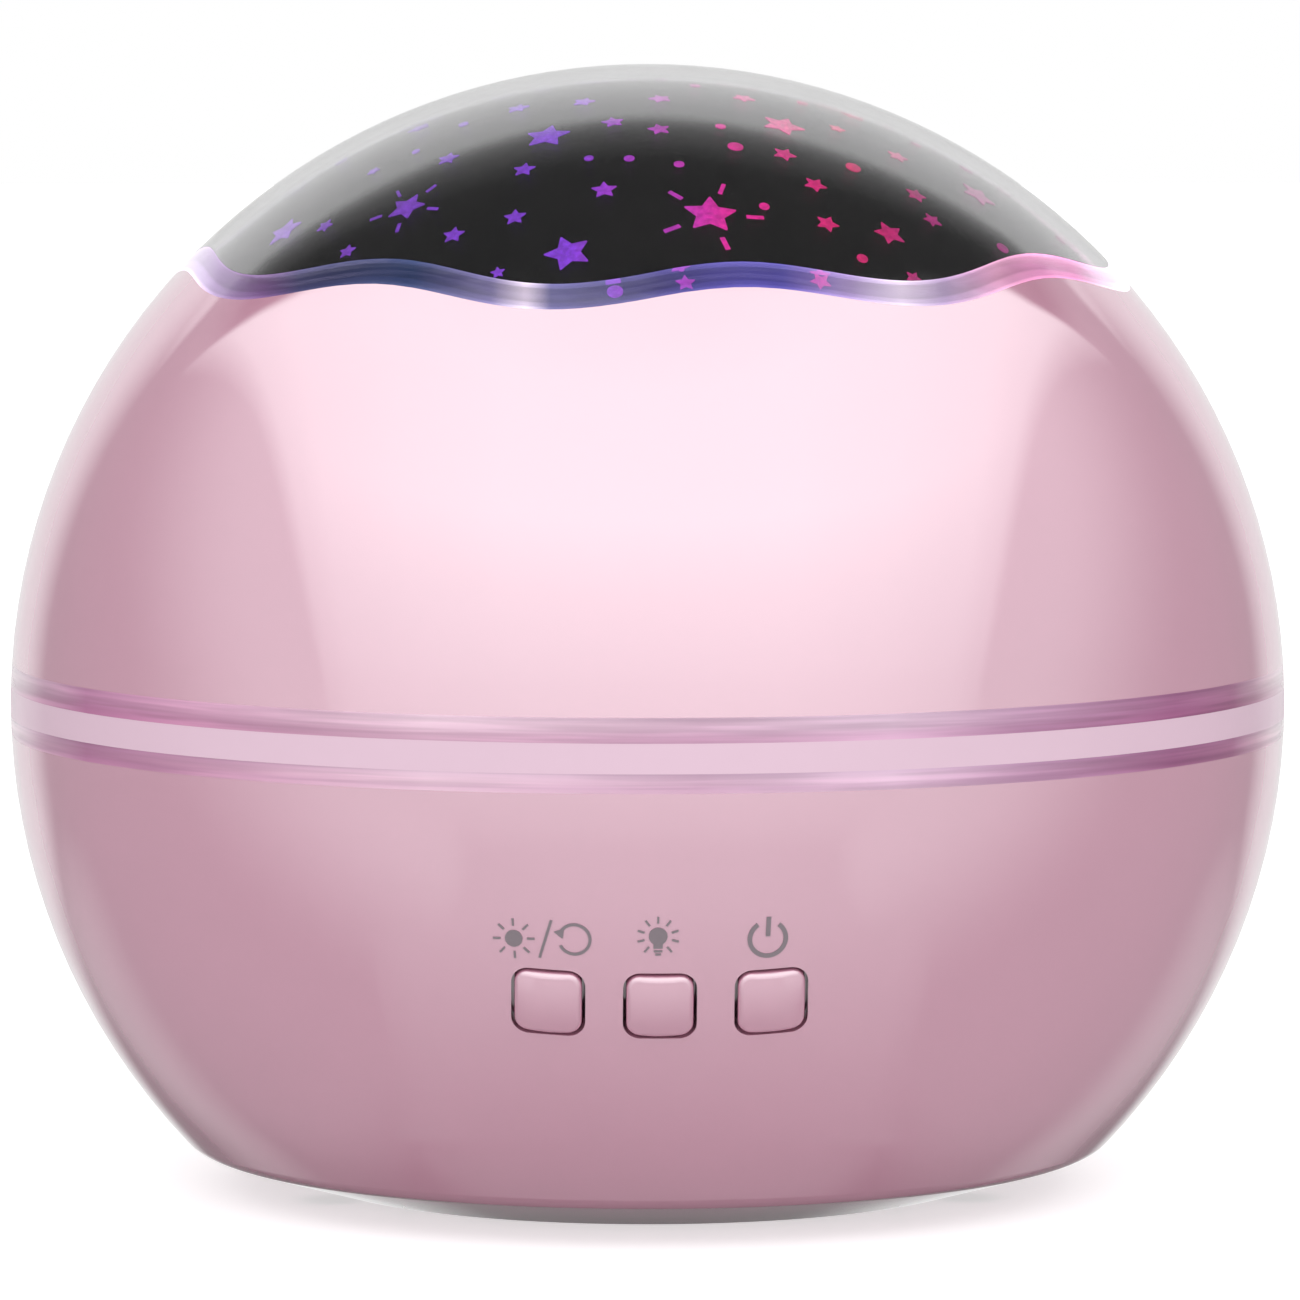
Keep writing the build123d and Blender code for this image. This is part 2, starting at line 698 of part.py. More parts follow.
switch_board_length = 2 * (switch_post_x + SWITCH_POST_RADIUS + FIT_GAP)
switch_post_spots = [(-switch_post_x, 0), (switch_post_x, 0)]


def button_cap(spot):
    """Square cap with a crowned face, a flange behind the wall and a stem."""
    face_radius = BALL_RADIUS + BUTTON_PROUD
    crown_share = (face_radius - BUTTON_CROWN) / face_radius
    crown_height = crown_share * sqrt(face_radius**2 - spot**2)
    with BuildPart() as cap:
        with BuildSketch(button_plane.offset(flange_bottom)):
            with Locations((spot, 0)):
                RectangleRounded(BUTTON_SIZE, BUTTON_SIZE, BUTTON_CORNER)
        extrude(amount=BALL_RADIUS)
        with Locations(button_plane.location * Location((crown_share * spot, 0, crown_height))):
            Sphere(BUTTON_CROWN, rotation=(90, 0, 0), mode=Mode.INTERSECT)
        fillet(cap.faces().filter_by(GeomType.SPHERE).edges(), radius=BUTTON_EDGE)
        with BuildSketch(button_plane.offset(flange_bottom)):
            with Locations((spot, 0)):
                RectangleRounded(BUTTON_FLANGE_SIZE, BUTTON_FLANGE_SIZE, BUTTON_CORNER)
        extrude(amount=BUTTON_FLANGE)
        with BuildSketch(button_plane.offset(plunger_top)):
            with Locations((spot, 0)):
                Circle(BUTTON_STEM_RADIUS)
        extrude(amount=STEM_LENGTH)
    return cap.part


def switch_plunger(spot):
    """Round plunger of one push switch."""
    with BuildPart() as plunger:
        with BuildSketch(button_plane.offset(plunger_foot)):
            with Locations((spot, 0)):
                Circle(PLUNGER_RADIUS)
        extrude(amount=plunger_top - plunger_foot)
    return plunger.part


with BuildPart() as push_switches:
    with BuildSketch(button_plane.offset(switch_board_front)):
        with Locations(*[(spot, 0) for spot in button_spots]):
            Rectangle(SWITCH_SIZE, SWITCH_SIZE)
    extrude(amount=SWITCH_BODY)
    with BuildSketch(button_plane.offset(switch_board_front + SWITCH_FLOOR)):
        with Locations(*[(spot, 0) for spot in button_spots]):
            Circle(PLUNGER_RADIUS + RUN_GAP)
    extrude(amount=SWITCH_BODY, mode=Mode.SUBTRACT)

with BuildPart() as switch_board:
    with BuildSketch(button_plane.offset(switch_board_back)):
        Rectangle(switch_board_length, SWITCH_BOARD_WIDTH)
        with Locations(*switch_post_spots):
            Circle(SMALL_SHANK + SHANK_GAP, mode=Mode.SUBTRACT)
    extrude(amount=BOARD_THICKNESS)

with BuildPart() as switch_board_screws:
    with BuildSketch(button_plane.offset(switch_board_back)):
        with Locations(*switch_post_spots):
            Circle(SMALL_SHANK)
    extrude(amount=BOARD_SCREW_LENGTH)
    with BuildSketch(button_plane.offset(switch_board_back)):
        with Locations(*switch_post_spots):
            Circle(SMALL_HEAD)
    extrude(amount=-SMALL_HEAD_HEIGHT)

# Battery tray, cells and contacts

cell_spots = [CELL_PITCH * (slot - (CELL_COUNT - 1) / 2) for slot in range(CELL_COUNT)]
tray_half_length = (CELL_LENGTH + SPRING_ROOM) / 2 + CONTACT_THICKNESS
door_top = underside + DOOR_THICKNESS
cell_z = floor_top + CELL_RADIUS
tray_roof = cell_z + CELL_RADIUS + CELL_GAP
tray_top = tray_roof + TRAY_WALL
cell_shift = SPRING_ROOM / 2
tray_seat_half_width = tray_half_width + TRAY_WALL + SLIDE_GAP
tray_seat_half_length = tray_half_length + TRAY_WALL + SLIDE_GAP

with BuildPart() as battery_tray:
    with BuildSketch(Plane.XY.offset(floor_top)):
        Rectangle(2 * (tray_half_width + TRAY_WALL), 2 * (tray_half_length + TRAY_WALL))
    extrude(amount=tray_top - floor_top)
    with BuildSketch(Plane.XY.offset(floor_top)):
        Rectangle(2 * tray_half_width, 2 * tray_half_length)
    extrude(amount=tray_roof - floor_top, mode=Mode.SUBTRACT)


def facing(slot):
    """Way along Y that the positive end of a cell points: neighbours alternate."""
    return 1 if slot % 2 == 0 else -1


with BuildPart() as battery_cells:
    for slot, spot in enumerate(cell_spots):
        way = facing(slot)
        back = way * (cell_shift - CELL_LENGTH / 2)
        with BuildSketch(Plane.XZ.offset(-back)):
            with Locations((spot, cell_z)):
                Circle(CELL_RADIUS)
        extrude(amount=-way * (CELL_LENGTH - CELL_NUB))
        with BuildSketch(Plane.XZ.offset(-back)):
            with Locations((spot, cell_z)):
                Circle(CELL_NUB_RADIUS)
        extrude(amount=-way * CELL_LENGTH)

with BuildPart() as positive_contacts:
    for slot, spot in enumerate(cell_spots):
        way = facing(slot)
        with BuildSketch(Plane.XZ.offset(-way * (tray_half_length - CONTACT_THICKNESS))):
            with Locations((spot, cell_z)):
                RectangleRounded(CONTACT_WIDTH, CONTACT_HEIGHT, CONTACT_CORNER)
        extrude(amount=-way * CONTACT_THICKNESS)

with BuildPart() as negative_contacts:
    for slot, spot in enumerate(cell_spots):
        way = -facing(slot)
        wall = way * tray_half_length
        bow = way * (CELL_LENGTH / 2 - cell_shift + GLUE_GAP)
        half = CONTACT_HEIGHT / 2
        leaf = way * CONTACT_THICKNESS
        with BuildSketch(Plane.YZ.offset(spot - CONTACT_WIDTH / 2)):
            with BuildLine():
                inside = ThreePointArc((wall, cell_z - half), (bow, cell_z), (wall, cell_z + half))
                outside = ThreePointArc(
                    (wall, cell_z - half + CONTACT_THICKNESS),
                    (bow + leaf, cell_z),
                    (wall, cell_z + half - CONTACT_THICKNESS),
                )
                closed_by(inside, outside)
            make_face()
        extrude(amount=CONTACT_WIDTH)

# Battery door with its captive screw

rebate_half_width = tray_half_width + DOOR_OVERLAP
rebate_half_length = tray_half_length + DOOR_OVERLAP
screw_boss_radius = DOOR_BOSS_RADIUS + DOOR_GAP + DOOR_BOSS_WALL
door_screw_y = tray_half_length + TRAY_WALL + screw_boss_radius + FIT_GAP
door_screw_seat = floor_top - DOOR_SCREW_WEB


def door_outline(gap):
    """Door with its rounded screw tongue, smaller than the rebate by a gap all round."""
    Rectangle(2 * (rebate_half_width - gap), 2 * (rebate_half_length - gap))
    with Locations((0, door_screw_y / 2)):
        SlotCenterToCenter(door_screw_y, DOOR_TONGUE_WIDTH - 2 * gap, rotation=90)


with BuildPart() as battery_door:
    with BuildSketch(Plane.XY.offset(underside)):
        door_outline(DOOR_GAP)
    extrude(amount=DOOR_THICKNESS)
    with BuildSketch(Plane.XY.offset(underside)):
        with Locations((0, door_screw_y)):
            Circle(DOOR_BOSS_RADIUS)
    extrude(amount=BASE_FLOOR)
    with BuildSketch(Plane.XY.offset(door_top)):
        with Locations((0, -DOOR_RIB_SPAN / 2), (0, DOOR_RIB_SPAN / 2)):
            Rectangle(2 * (tray_half_width - FIT_GAP), DOOR_RIB_WIDTH)
    extrude(amount=floor_top - door_top - SLIDE_GAP)
    add(base_body.part, mode=Mode.INTERSECT)
    with BuildSketch(Plane.XY.offset(underside)):
        with Locations((0, door_screw_y)):
            Circle(SMALL_HEAD + SLIDE_GAP)
    extrude(amount=door_screw_seat - underside, mode=Mode.SUBTRACT)
    with BuildSketch(Plane.XY.offset(door_screw_seat)):
        with Locations((0, door_screw_y)):
            Circle(SMALL_SHANK + SHANK_GAP)
    extrude(amount=DOOR_SCREW_WEB, mode=Mode.SUBTRACT)

with BuildPart() as battery_door_screw:
    add(upright_screw(small_screw, [(0, door_screw_y)], door_screw_seat, DOOR_SCREW_LENGTH, True))

# Power jack and main board

jack_front = ball_point(base_inner, JACK_Z - JACK_BOSS_RADIUS)[0] - JACK_BOSS_INSET
jack_mouth = jack_front + JACK_NOSE_LENGTH
jack_bottom = JACK_Z - JACK_AXIS_HEIGHT
board_top = jack_bottom
board_bottom = board_top - BOARD_THICKNESS
board_rear = jack_front - JACK_OVERHANG
board_front = tray_half_length + TRAY_WALL + BOARD_TRAY_GAP
board_y = (board_front + board_rear) / 2
pillar_x = MAIN_BOARD_WIDTH / 2 - PILLAR_INSET
pillar_y = board_rear - PILLAR_INSET
pillar_spots = [(-pillar_x, pillar_y), (pillar_x, pillar_y)]


def rear_plane(distance):
    """Upright plane at a distance behind the axis, square to +Y, about the jack's height."""
    return Plane(origin=(0, distance, JACK_Z), x_dir=(1, 0, 0), z_dir=(0, 1, 0))


with BuildPart() as power_jack:
    with BuildSketch(Plane.XY.offset(jack_bottom)):
        with Locations((0, jack_front - JACK_LENGTH / 2)):
            Rectangle(JACK_WIDTH, JACK_LENGTH)
    extrude(amount=JACK_HEIGHT)
    with BuildSketch(rear_plane(jack_front)):
        Circle(JACK_NOSE_RADIUS)
    extrude(amount=JACK_NOSE_LENGTH)
    with BuildSketch(rear_plane(jack_mouth)):
        Circle(JACK_BORE_RADIUS)
    extrude(amount=-JACK_BORE_DEPTH, mode=Mode.SUBTRACT)

with BuildPart() as jack_centre_pin:
    with BuildSketch(rear_plane(jack_mouth - JACK_BORE_DEPTH)):
        Circle(JACK_PIN_RADIUS)
    extrude(amount=JACK_BORE_DEPTH - JACK_PIN_SHORT)

with BuildPart() as main_board:
    with BuildSketch(Plane.XY.offset(board_bottom)):
        with Locations((0, board_y)):
            Rectangle(MAIN_BOARD_WIDTH, board_rear - board_front)
        with Locations(*pillar_spots):
            Circle(SMALL_SHANK + SHANK_GAP, mode=Mode.SUBTRACT)
    extrude(amount=BOARD_THICKNESS)

with BuildPart() as main_board_screws:
    add(upright_screw(small_screw, pillar_spots, board_top, BOARD_SCREW_LENGTH, False))

connector_y = board_front + CONNECTOR_DEPTH / 2
connector_top = board_top + CONNECTOR_HEIGHT
connector_z = board_top + CONNECTOR_HEIGHT / 2
connector_spots = [
    CONNECTOR_PITCH * (slot - (CONNECTOR_COUNT - 1) / 2) for slot in range(CONNECTOR_COUNT)
]
switch_lead_x, motor_lead_x, led_lead_x, battery_lead_x = connector_spots

with BuildPart() as lead_connectors:
    with BuildSketch(Plane.XY.offset(board_top)):
        with Locations(*[(spot, connector_y) for spot in connector_spots]):
            Rectangle(CONNECTOR_WIDTH, CONNECTOR_DEPTH)
    extrude(amount=CONNECTOR_HEIGHT)

part_row_y = connector_y + CONNECTOR_DEPTH / 2 + CAPACITOR_RADIUS + 2 * FIT_GAP
capacitor_x = JACK_WIDTH / 2 + CAPACITOR_RADIUS + PART_GAP
chip_x = -JACK_WIDTH / 2 - CHIP_WIDTH / 2 - PART_GAP

with BuildPart() as control_chip:
    with BuildSketch(Plane.XY.offset(board_top)):
        with Locations((chip_x, part_row_y)):
            Rectangle(CHIP_WIDTH, CHIP_DEPTH)
    extrude(amount=CHIP_HEIGHT)

with BuildPart() as capacitor:
    with BuildSketch(Plane.XY.offset(board_top)):
        with Locations((capacitor_x, part_row_y)):
            Circle(CAPACITOR_RADIUS)
    extrude(amount=CAPACITOR_HEIGHT)

# Leads inside the base

lead_arch = motor_bottom - 2 * LEAD_RADIUS
switch_exit = button_plane.offset(switch_board_back).from_local_coords((switch_lead_x / 2, 0, 0))
switch_bend = button_plane.offset(switch_board_back - LEAD_BEND).from_local_coords(
    (switch_lead_x / 2, 0, 0)
)


def lead(*points):
    """Round lead along straight runs with rounded bends."""
    with BuildPart() as tube:
        with BuildLine() as route:
            FilletPolyline(*points, radius=LEAD_BEND)
        with BuildSketch(Plane(origin=route.line @ 0, z_dir=route.line % 0)):
            Circle(LEAD_RADIUS)
        sweep(path=route.line)
    return tube.part


led_lead = lead(
    (0, 0, led_seat),
    (0, 0, connector_z + 2 * LEAD_BEND),
    (led_lead_x, board_front / 2, connector_z),
    (led_lead_x, board_front, connector_z),
)
battery_lead = lead(
    (battery_lead_x, connector_y - 3 * LEAD_BEND, tray_top),
    (battery_lead_x, connector_y - 3 * LEAD_BEND, lead_arch),
    (battery_lead_x, connector_y, lead_arch),
    (battery_lead_x, connector_y, connector_top),
)
switch_lead = lead(
    switch_exit,
    switch_bend,
    (switch_lead_x, -board_front / 2, connector_z),
    (switch_lead_x, board_front, connector_z),
)

with BuildPart() as motor_lead:
    with BuildSketch(Plane.XY.offset(connector_top)):
        with Locations((motor_lead_x, connector_y)):
            Circle(LEAD_RADIUS)
    extrude(amount=motor_bottom - connector_top)

# Base shell: bowl, screw towers, bosses and openings

foot_x = rebate_half_width + FOOT_MARGIN + FOOT_WIDTH / 2
foot_spots = [(-foot_x, 0), (foot_x, 0)]

with BuildPart() as rubber_feet:
    with BuildSketch(Plane.XY):
        with Locations(*foot_spots):
            SlotOverall(FOOT_LENGTH, FOOT_WIDTH, rotation=90)
    extrude(amount=FOOT_PROUD + FOOT_RECESS)

with BuildPart() as wall_bosses:
    with BuildSketch(Plane.XY.offset(floor_top)):
        with Locations(*pillar_spots):
            Circle(PILLAR_RADIUS)
    extrude(amount=board_bottom - floor_top)
    with BuildSketch(button_plane.offset(switch_board_front)):
        with Locations(*switch_post_spots):
            Circle(SWITCH_POST_RADIUS)
    extrude(amount=BALL_RADIUS - switch_board_front)
    with BuildSketch(rear_plane(jack_front)):
        Circle(JACK_BOSS_RADIUS)
    extrude(amount=BALL_RADIUS - jack_front)
    with Locations((0, 0, centre)):
        Sphere(BALL_RADIUS - BASE_WALL / 2, mode=Mode.INTERSECT)
    add(base_body.part, mode=Mode.INTERSECT)

with BuildPart() as base_shell:
    add(base_body.part)
    add(base_hollow.part, mode=Mode.SUBTRACT)
    with BuildSketch(Plane.XY.offset(floor_top)):
        Rectangle(2 * tray_seat_half_width, 2 * tray_seat_half_length)
    extrude(amount=tray_top - floor_top, mode=Mode.SUBTRACT)
    add(wall_bosses.part)
    with BuildSketch(Plane.XY.offset(floor_top)):
        with Locations(*tower_spots):
            Circle(tower_radius)
    extrude(amount=tower_top - floor_top)
    with BuildSketch(Plane.XY.offset(floor_top)):
        with Locations((0, door_screw_y)):
            Circle(screw_boss_radius)
    extrude(amount=SCREW_BOSS_HEIGHT)
    # Battery opening, door rebate and the hole for the door's screw boss
    with BuildSketch(Plane.XY.offset(underside)):
        Rectangle(2 * tray_half_width, 2 * tray_half_length)
        with Locations((0, door_screw_y)):
            Circle(DOOR_BOSS_RADIUS + DOOR_GAP)
    extrude(amount=BASE_FLOOR, mode=Mode.SUBTRACT)
    with BuildSketch(Plane.XY.offset(underside)):
        door_outline(0)
    extrude(amount=DOOR_THICKNESS, mode=Mode.SUBTRACT)
    # Screw holes
    with BuildSketch(Plane.XY.offset(floor_top)):
        with Locations((0, door_screw_y)):
            Circle(SMALL_SHANK + THREAD_GAP)
    extrude(amount=SCREW_BOSS_HEIGHT, mode=Mode.SUBTRACT)
    with BuildSketch(Plane.XY.offset(underside)):
        with Locations(*tower_spots):
            Circle(FRAME_HEAD + HEAD_GAP)
    extrude(amount=tower_seat - underside, mode=Mode.SUBTRACT)
    with BuildSketch(Plane.XY.offset(tower_seat)):
        with Locations(*tower_spots):
            Circle(FRAME_SHANK + SHANK_GAP)
    extrude(amount=TOWER_WEB, mode=Mode.SUBTRACT)
    with BuildSketch(Plane.XY.offset(board_bottom)):
        with Locations(*pillar_spots):
            Circle(SMALL_SHANK + THREAD_GAP)
    extrude(amount=BOARD_THICKNESS - BOARD_SCREW_LENGTH, mode=Mode.SUBTRACT)
    with BuildSketch(button_plane.offset(switch_board_front)):
        with Locations(*switch_post_spots):
            Circle(SMALL_SHANK + THREAD_GAP)
    extrude(amount=BOARD_SCREW_LENGTH - BOARD_THICKNESS, mode=Mode.SUBTRACT)
    # Foot recesses
    with BuildSketch(Plane.XY.offset(underside)):
        with Locations(*foot_spots):
            SlotOverall(FOOT_LENGTH + 2 * GLUE_GAP, FOOT_WIDTH + 2 * GLUE_GAP, rotation=90)
    extrude(amount=FOOT_RECESS, mode=Mode.SUBTRACT)
    # Button windows
    with BuildSketch(button_plane.offset(flange_top)):
        with Locations(*[(spot, 0) for spot in button_spots]):
            RectangleRounded(hole_size, hole_size, BUTTON_CORNER + FIT_GAP)
    extrude(amount=BALL_RADIUS - flange_top, mode=Mode.SUBTRACT)
    # Jack opening in its sunk round seat
    with BuildSketch(rear_plane(jack_front)):
        Circle(JACK_NOSE_RADIUS + FIT_GAP)
    extrude(amount=BALL_RADIUS - jack_front, mode=Mode.SUBTRACT)
    with BuildSketch(rear_plane(jack_mouth - JACK_RECESS_LIP)):
        Circle(JACK_RECESS_RADIUS)
    extrude(amount=BALL_RADIUS - jack_front, mode=Mode.SUBTRACT)

# Written pieces

pieces = {
    "base_shell": base_shell.part,
    "middle_frame": middle_frame.part,
    "lower_clear_ring": lower_clear_ring.part,
    "upper_clear_ring": upper_clear_ring.part,
    "upper_shade": upper_shade.part,
    "wave_lip": wave_lip.part,
    "clear_dome": clear_dome.part,
    "star_dome": star_dome.part,
    "turntable": turntable.part,
    "thrust_washer": thrust_washer.part,
    "pinion": pinion.part,
    "motor_shaft": motor_shaft.part,
    "motor_body": motor_body.part,
    "motor_screws": motor_screws.part,
    "motor_lead": motor_lead.part,
    "led_holder": led_holder.part,
    "led_board": led_board.part,
    "leds": leds.part,
    "led_screws": led_screws.part,
    "led_lead": led_lead,
    "push_switches": push_switches.part,
    "switch_board": switch_board.part,
    "switch_board_screws": switch_board_screws.part,
    "switch_lead": switch_lead,
    "battery_tray": battery_tray.part,
    "battery_cells": battery_cells.part,
    "positive_contacts": positive_contacts.part,
    "negative_contacts": negative_contacts.part,
    "battery_lead": battery_lead,
    "battery_door": battery_door.part,
    "battery_door_screw": battery_door_screw.part,
    "main_board": main_board.part,
    "main_board_screws": main_board_screws.part,
    "lead_connectors": lead_connectors.part,
    "control_chip": control_chip.part,
    "capacitor": capacitor.part,
    "power_jack": power_jack.part,
    "jack_centre_pin": jack_centre_pin.part,
    "frame_screws": frame_screws.part,
    "rubber_feet": rubber_feet.part,
}
for name, spot in zip(BUTTON_NAMES, button_spots):
    pieces[f"button_{name}"] = button_cap(spot)
    pieces[f"plunger_{name}"] = switch_plunger(spot)

os.makedirs("parts", exist_ok=True)
for name, piece in pieces.items():
    piece.label = name
    export_step(piece, f"parts/{name}.step")
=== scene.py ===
import json
from math import asin, cos, degrees, radians, sin

import bmesh
import bpy
from mathutils import Matrix, Vector


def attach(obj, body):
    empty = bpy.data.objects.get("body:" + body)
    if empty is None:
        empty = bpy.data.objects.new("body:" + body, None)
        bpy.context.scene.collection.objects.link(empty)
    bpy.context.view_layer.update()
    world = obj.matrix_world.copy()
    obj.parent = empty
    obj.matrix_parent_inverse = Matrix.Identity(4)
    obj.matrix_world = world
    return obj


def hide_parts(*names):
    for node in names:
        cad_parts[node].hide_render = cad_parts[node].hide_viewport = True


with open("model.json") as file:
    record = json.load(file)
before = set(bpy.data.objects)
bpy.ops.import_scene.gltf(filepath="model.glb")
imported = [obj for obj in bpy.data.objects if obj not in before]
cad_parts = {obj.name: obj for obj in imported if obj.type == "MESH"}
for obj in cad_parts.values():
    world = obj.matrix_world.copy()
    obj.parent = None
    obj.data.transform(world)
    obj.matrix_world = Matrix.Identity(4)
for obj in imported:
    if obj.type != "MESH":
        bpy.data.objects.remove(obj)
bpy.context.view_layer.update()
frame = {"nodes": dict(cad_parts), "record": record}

# Sizes in metres, shared with the solids
BALL_CENTRE = Vector((0, 0, 0.047477))
BALL_RADIUS = 0.0625
STAR_DOME_RADIUS = 0.0609
LIP_REACH = 0.045
CELL_HALF = 0.0222
WAVE_LOW = 0.0417
WAVE_HEIGHT = 0.001
WAVE_COUNT = 8
WAVE_PHASE = radians(10.1)
LIP_HEIGHT = 0.0023
RING_FOOT = BALL_CENTRE.z - 0.0027
RING_HEAD = BALL_CENTRE.z + 0.00425
LIP_EASE = 0.00003
LIP_CREASE = radians(30)
PRINT_PROUD = 0.00006
PRINT_SUNK = 0.00003
MILLIMETRE = 0.001


# Finishes

def new_finish(name):
    """Principled finish that reads object coordinates."""
    finish = bpy.data.materials.new(name)
    finish.use_nodes = True
    tree = finish.node_tree
    shader = tree.nodes["Principled BSDF"]
    place = tree.nodes.new("ShaderNodeTexCoord").outputs["Object"]
    return finish, tree, shader, place


def stretched(tree, place, scale):
    """Object coordinates drawn out or squeezed along each axis."""
    mapping = tree.nodes.new("ShaderNodeMapping")
    mapping.inputs["Scale"].default_value = scale
    tree.links.new(place, mapping.inputs["Vector"])
    return mapping.outputs["Vector"]


def cloud(tree, place, scale, detail=3.0):
    """Soft noise about one half."""
    noise = tree.nodes.new("ShaderNodeTexNoise")
    noise.inputs["Scale"].default_value = scale
    noise.inputs["Detail"].default_value = detail
    tree.links.new(place, noise.inputs["Vector"])
    return noise.outputs["Fac"]


def axis_value(tree, place, axis):
    """One coordinate by itself."""
    parts = tree.nodes.new("ShaderNodeSeparateXYZ")
    tree.links.new(place, parts.inputs["Vector"])
    return parts.outputs[axis]


def ranged(tree, value, start, end, low, high, smooth=False):
    """Value carried from one span onto another, kept inside it."""
    span = tree.nodes.new("ShaderNodeMapRange")
    if smooth:
        span.interpolation_type = "SMOOTHSTEP"
    for socket, number in (("From Min", start), ("From Max", end), ("To Min", low), ("To Max", high)):
        span.inputs[socket].default_value = number
    tree.links.new(value, span.inputs["Value"])
    return span.outputs["Result"]


def worked(tree, operation, first, second=None):
    """Sum, product or the like of one or two values."""
    node = tree.nodes.new("ShaderNodeMath")
    node.operation = operation
    for socket, value in zip(node.inputs, (first, second)):
        if isinstance(value, (int, float)):
            socket.default_value = value
        elif value is not None:
            tree.links.new(value, socket)
    return node.outputs["Value"]


def two_tone(tree, factor, first, second):
    """Colour between two tones."""
    mix = tree.nodes.new("ShaderNodeMix")
    mix.data_type = "RGBA"
    mix.inputs[6].default_value = (*first, 1)
    mix.inputs[7].default_value = (*second, 1)
    tree.links.new(factor, mix.inputs[0])
    return mix.outputs[2]


def colour_steps(tree, factor, steps):
    """Colour that runs through several tones."""
    ramp = tree.nodes.new("ShaderNodeValToRGB")
    stops = ramp.color_ramp.elements
    while len(stops) < len(steps):
        stops.new(0.5)
    for stop, (spot, tone) in zip(stops, steps):
        stop.position = spot
        stop.color = (*tone, 1)
    tree.links.new(factor, ramp.inputs["Fac"])
    return ramp.outputs["Color"]


def toned(tree, colour, level):
    """Colour made lighter or darker by another."""
    mix = tree.nodes.new("ShaderNodeMix")
    mix.data_type = "RGBA"
    mix.blend_type = "MULTIPLY"
    mix.inputs[0].default_value = 1.0
    tree.links.new(colour, mix.inputs[6])
    tree.links.new(level, mix.inputs[7])
    return mix.outputs[2]


def grey_steps(tree, factor, steps):
    """Level that runs through several greys."""
    return colour_steps(tree, factor, [(spot, (level, level, level)) for spot, level in steps])


def textured_skin(tree, shader, height, relief_depth_and_painted_bands):
    """Fine relief on the surface."""
    bump = tree.nodes.new("ShaderNodeBump")
    bump.inputs["Strength"].default_value = 1.0
    bump.inputs["Distance"].default_value = relief_depth_and_painted_bands
    tree.links.new(height, bump.inputs["Height"])
    tree.links.new(bump.outputs["Normal"], shader.inputs["Normal"])


def tinted_depth(tree, tone, density):
    """Clear plastic that takes up light on the way through."""
    tint = tree.nodes.new("ShaderNodeVolumeAbsorption")
    tint.inputs["Color"].default_value = (*tone, 1)
    tint.inputs["Density"].default_value = density
    tree.links.new(tint.outputs["Volume"], tree.nodes["Material Output"].inputs["Volume"])


def moulded_plastic(name, tone, shift, gloss, grain=1500.0, relief_depth_and_painted_bands=0.000004):
    """Moulded plastic with a faint drift of colour and a fine skin."""
    finish, tree, shader, place = new_finish(name)
    drift = ranged(tree, cloud(tree, place, 30.0), 0.3, 0.7, 0.0, 1.0)
    other = tuple(channel * shift for channel in tone)
    tree.links.new(two_tone(tree, drift, tone, other), shader.inputs["Base Color"])
    wear = ranged(tree, cloud(tree, place, 220.0), 0.3, 0.7, gloss[0], gloss[1])
    tree.links.new(wear, shader.inputs["Roughness"])
    textured_skin(tree, shader, cloud(tree, place, grain, 1.0), relief_depth_and_painted_bands)
    return finish


def lacquered_pink(name, tone, coat):
    """Glossy pink under a clear lacquer."""
    finish = moulded_plastic(name, tone, 1.05, (0.12, 0.2))
    shader = finish.node_tree.nodes["Principled BSDF"]
    shader.inputs["IOR"].default_value = 1.6
    shader.inputs["Coat Weight"].default_value = 1.0
    shader.inputs["Coat Roughness"].default_value = 0.04
    shader.inputs["Coat IOR"].default_value = coat
    return finish


def clear_cap():
    """Clear cap over the stars, very slightly smoky."""
    finish, tree, shader, place = new_finish("clear_cap_finish")
    shader.inputs["Base Color"].default_value = (0.97, 0.965, 0.975, 1)
    shader.inputs["Transmission Weight"].default_value = 1.0
    shader.inputs["IOR"].default_value = 1.59
    haze = ranged(tree, cloud(tree, place, 90.0), 0.3, 0.7, 0.015, 0.04)
    tree.links.new(haze, shader.inputs["Roughness"])
    textured_skin(tree, shader, cloud(tree, place, 60.0, 1.0), 0.000003)
    tinted_depth(tree, (0.0, 0.0, 0.0), 50.0)
    return finish


def share_of_lip(tree, place):
    """Height within the wavy lip: nought at its low edge, one at its high edge."""
    across, away, up = (axis_value(tree, place, axis) for axis in "XYZ")
    turn = worked(tree, "ARCTAN2", across, worked(tree, "MULTIPLY", away, -1.0))
    phase = worked(tree, "MULTIPLY", worked(tree, "SUBTRACT", turn, WAVE_PHASE), WAVE_COUNT)
    wave = worked(tree, "MULTIPLY", worked(tree, "COSINE", phase), WAVE_HEIGHT)
    rise = worked(tree, "SUBTRACT", worked(tree, "SUBTRACT", up, BALL_CENTRE.z + WAVE_LOW), wave)
    return worked(tree, "DIVIDE", rise, LIP_HEIGHT)


